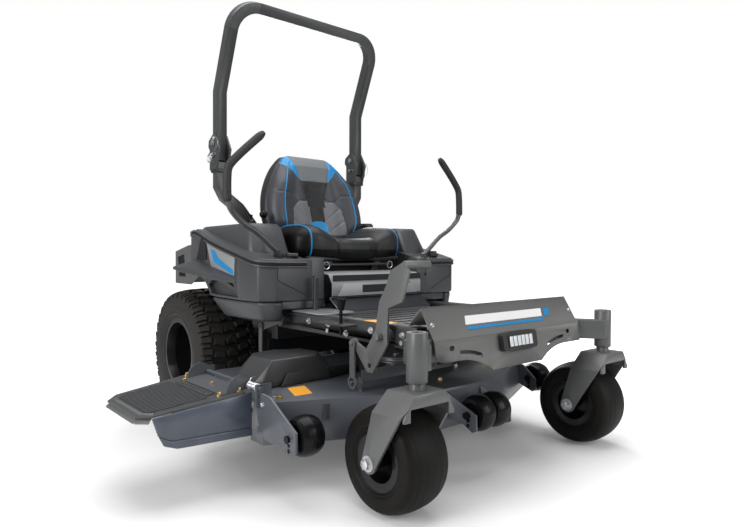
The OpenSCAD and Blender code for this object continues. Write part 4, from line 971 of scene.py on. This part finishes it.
    # Painted shadow in the vent at the rear of the side recess
    add_prism(bm, mirrored(sign, [(0.5785, -0.215, 0.752), (0.5785, -0.105, 0.752),
                                  (0.5785, -0.155, 0.850), (0.5785, -0.205, 0.842)]),
              Vector((sign * 0.003, 0, 0)))
    finish_piece(bm, "pod_shadow_lines_" + side, "chassis", "painted_shadow")
    # Bright plate in the side recess, with a plain stripe
    bm = bmesh.new()
    add_prism(bm, mirrored(sign, [(0.5788, -0.497, 0.764), (0.5788, -0.490, 0.648),
                                  (0.5788, -0.262, 0.722), (0.5788, -0.206, 0.846)]),
              Vector((sign * 0.003, 0, 0)), 0, bevel=0.001)
    add_prism(bm, mirrored(sign, [(0.582, -0.470, 0.690), (0.582, -0.290, 0.745),
                                  (0.582, -0.262, 0.800), (0.582, -0.300, 0.792),
                                  (0.582, -0.330, 0.762), (0.582, -0.470, 0.712)]),
              Vector((sign * 0.0010, 0, 0)), 1)
    finish_piece(bm, "pod_plate_" + side, "chassis", "plate blue")
    # Lever pivot hardware at the top of the pod
    bm = bmesh.new()
    add_box(bm, (sign * 0.385 - 0.008, -0.66, 0.762), (sign * 0.385 + 0.008, -0.60, 0.770),
            bevel=0.002)
    add_turned(bm, [(0, 0), (0.010, 0), (0.010, 0.05), (0, 0.05)], (sign * 0.395, -0.672, 0.774),
               (sign, 0, 0), 0, 20)
    add_box(bm, (sign * 0.458 - 0.006, -0.655, 0.760), (sign * 0.458 + 0.006, -0.60, 0.795),
            bevel=0.003)
    finish_piece(bm, "lever_guard_" + side, "chassis", "black")
print("pods done")

# %% [markdown]
# ## Frame, nose and roll bar details

# %% Nose
bm = bmesh.new()
lamp = Matrix.Translation((0, -1.480, 0.475)) @ Matrix.Rotation(math.radians(-9), 4, "X")
for k in range(6):
    x = -0.066 + k * 0.0225
    add_box(bm, (x, -0.0285, -0.018), (x + 0.0195, -0.0262, 0.018), bevel=0.002)
bm.transform(lamp)
finish_piece(bm, "lamp_segments", "chassis", "lens")
bm = bmesh.new()
up = Vector((0, 0.060, 0.099)).normalized()
out = Vector((0, -0.099, 0.060)).normalized()
fold = Vector((0, -1.477, 0.508)) + out * 0.0019


def on_nose(x, h):
    return fold + Vector((x, 0, 0)) + up * h


def stripe(x0, x1, h0, h1, lean, mat):
    add_prism(bm, [on_nose(x0, h0), on_nose(x1, h0), on_nose(x1 + lean, h1),
                   on_nose(x0 + lean, h1)], out * 0.0004, mat)


stripe(-0.24, 0.20, 0.026, 0.036, 0.004, 0)
stripe(-0.24, 0.20, 0.044, 0.076, 0.014, 1)
stripe(0.215, 0.25, 0.044, 0.076, 0.014, 0)
finish_piece(bm, "nose_stripes", "chassis", "blue white")
bm = bmesh.new()
for x in (-0.395, 0.395):
    add_bolt(bm, on_nose(x, 0.055), out, 0.006, 0.004)
for sign in (-1, 1):
    for y in (-1.34, -1.18, -0.93, -0.80, -0.56):
        add_bolt(bm, (sign * 0.4205, y, 0.515), (sign, 0, 0), 0.008, 0.008)
    add_bolt(bm, (sign * 0.4205, -1.04, 0.49), (sign, 0, 0), 0.008, 0.008)
finish_piece(bm, "frame_screws", "chassis", "zinc")
bm = bmesh.new()
add_box(bm, (-0.4195, -1.27, 0.5452), (-0.372, -1.14, 0.5462))
finish_piece(bm, "rail_strip", "chassis", "yellow")
print("nose done")

# %% Seat base, kick panel, painted shade sheets, latch rings and fuel cap
bm = bmesh.new()
add_prism(bm, [(-0.20, -0.7405, 0.655), (-0.235, -0.7405, 0.600), (0.235, -0.7405, 0.600),
               (0.20, -0.7405, 0.655)], Vector((0, -0.004, 0)), 0, bevel=0.0015)
add_box(bm, (-0.10, -0.7452, 0.612), (0.10, -0.7442, 0.645), 1)
add_prism(bm, [(-0.26, -0.7405, 0.690), (0.26, -0.7405, 0.690), (0.26, -0.7405, 0.664),
               (-0.26, -0.7405, 0.664)], Vector((0, -0.002, 0)), 2)
finish_piece(bm, "base_plate", "chassis", "base navy navy")
bm = bmesh.new()
add_prism(bm, [(-0.262, -0.7255, 0.5945), (-0.262, -0.8065, 0.5385), (-0.262, -0.8077, 0.5402),
               (-0.262, -0.7267, 0.5962)], Vector((0.524, 0, 0)))
add_box(bm, (-0.262, -0.7408, 0.5965), (0.262, -0.7402, 0.602))
# Two dark sheets, under the seat and above the deck, fill the gaps into the machine with painted
# shade
add_box(bm, (-0.255, -0.436, 0.478), (0.255, -0.430, 0.722))
add_box(bm, (-0.400, -0.452, 0.315), (0.400, -0.448, 0.4005))
finish_piece(bm, "kick_panel_and_shade_sheets", "chassis", "navy")
bm = bmesh.new()
for x in (-0.19, 0.19):
    ring = [Vector((x + 0.016 * math.cos(a), -0.60, 0.728 + 0.016 * math.sin(a)))
            for a in [2 * math.pi * k / 24 for k in range(25)]]
    add_tube(bm, ring, 0.0022, sides=8)
finish_piece(bm, "latch_rings", "chassis", "zinc")
bm = bmesh.new()
add_turned(bm, [(0, 0), (0.041, 0), (0.041, 0.024), (0.036, 0.027), (0.034, 0.033), (0, 0.033)],
           (0.390, -0.176, 0.915), (0, 0, 1), 0, 32)
cap = finish_piece(bm, "fuel_cap_body", "chassis", "black", sharp=0.6)
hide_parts("fuel_caps")
print("base done")

# %% Roll bar hardware
bm = bmesh.new()
for sign in (-1, 1):
    wire = smooth_path([(sign * 0.478, -0.033, 1.262), (sign * 0.49, -0.05, 1.245),
                        (sign * 0.488, -0.075, 1.262), (sign * 0.468, -0.085, 1.30),
                        (sign * 0.462, -0.08, 1.325)], 8)
    add_tube(bm, wire, 0.0011, sides=6)
    add_bolt(bm, (sign * 0.4605, -0.035, 1.342), (sign, 0, 0), 0.008, 0.006)
finish_piece(bm, "hoop_lanyards", "chassis", "zinc")
bm = bmesh.new()
for sign in (-1, 1):
    add_box(bm, (sign * 0.427 - 0.034, -0.066, 1.176), (sign * 0.427 + 0.034, -0.004, 1.196),
            bevel=0.003)
finish_piece(bm, "hoop_clamps", "chassis", "black")
print("roll bar done")

# %% [markdown]
# ## Studio

# %% Floor and light
bm = bmesh.new()
bmesh.ops.create_grid(bm, x_segments=1, y_segments=1, size=30)
floor = as_object(bm, "floor")
floor_paint = material("floor_white", (0.80, 0.80, 0.80), 0.9, depth=0.0, vary=0.01)
# The floor fades to white away from the machine, for camera rays only
tree = floor_paint.node_tree
glow = tree.nodes["Principled BSDF"]
glow.inputs["Emission Color"].default_value = (1, 1, 1, 1)
where = tree.nodes.new("ShaderNodeTexCoord")
away = tree.nodes.new("ShaderNodeVectorMath")
away.operation = "DISTANCE"
away.inputs[1].default_value = (-0.1, -0.65, 0.0)
fade = tree.nodes.new("ShaderNodeMapRange")
fade.interpolation_type = "SMOOTHSTEP"
for key, value in (("From Min", 0.9), ("From Max", 2.3), ("To Min", 0.06), ("To Max", 0.95)):
    fade.inputs[key].default_value = value
path_info = tree.nodes.new("ShaderNodeLightPath")
only = tree.nodes.new("ShaderNodeMath")
only.operation = "MULTIPLY"
tree.links.new(where.outputs["Object"], away.inputs[0])
tree.links.new(away.outputs["Value"], fade.inputs["Value"])
tree.links.new(fade.outputs["Result"], only.inputs[0])
tree.links.new(path_info.outputs["Is Camera Ray"], only.inputs[1])
tree.links.new(only.outputs["Value"], glow.inputs["Emission Strength"])
floor.data.materials.append(floor_paint)
world = bpy.data.worlds.new("studio")
world.use_nodes = True
world.node_tree.nodes["Background"].inputs["Color"].default_value = (1, 1, 1, 1)
seen = world.node_tree.nodes.new("ShaderNodeLightPath")
level = world.node_tree.nodes.new("ShaderNodeMapRange")
level.inputs["To Min"].default_value = 0.30
level.inputs["To Max"].default_value = 1.0
world.node_tree.links.new(seen.outputs["Is Camera Ray"], level.inputs["Value"])
world.node_tree.links.new(level.outputs["Result"],
                          world.node_tree.nodes["Background"].inputs["Strength"])
scene.world = world


def area(name, at, look, size, power_w):
    data = bpy.data.lights.new(name, "AREA")
    data.shape = "RECTANGLE"
    data.size, data.size_y = size
    data.energy = power_w
    o = bpy.data.objects.new(name, data)
    o.location = at
    o.rotation_mode = "QUATERNION"
    o.rotation_quaternion = (Vector(look) - Vector(at)).to_track_quat("-Z", "Y")
    scene.collection.objects.link(o)


area("top", (0.0, -0.6, 4.2), (0, -0.6, 0), (4.0, 4.0), 160)
area("side", (-4.5, -1.0, 2.2), (0, -0.5, 0.6), (2.0, 3.0), 150)
area("front", (1.5, -5.0, 2.0), (0, -0.5, 0.5), (2.5, 2.5), 75)
area("rim", (3.0, 3.5, 3.0), (0, 0, 0.8), (2.0, 2.0), 110)
print("studio ready")
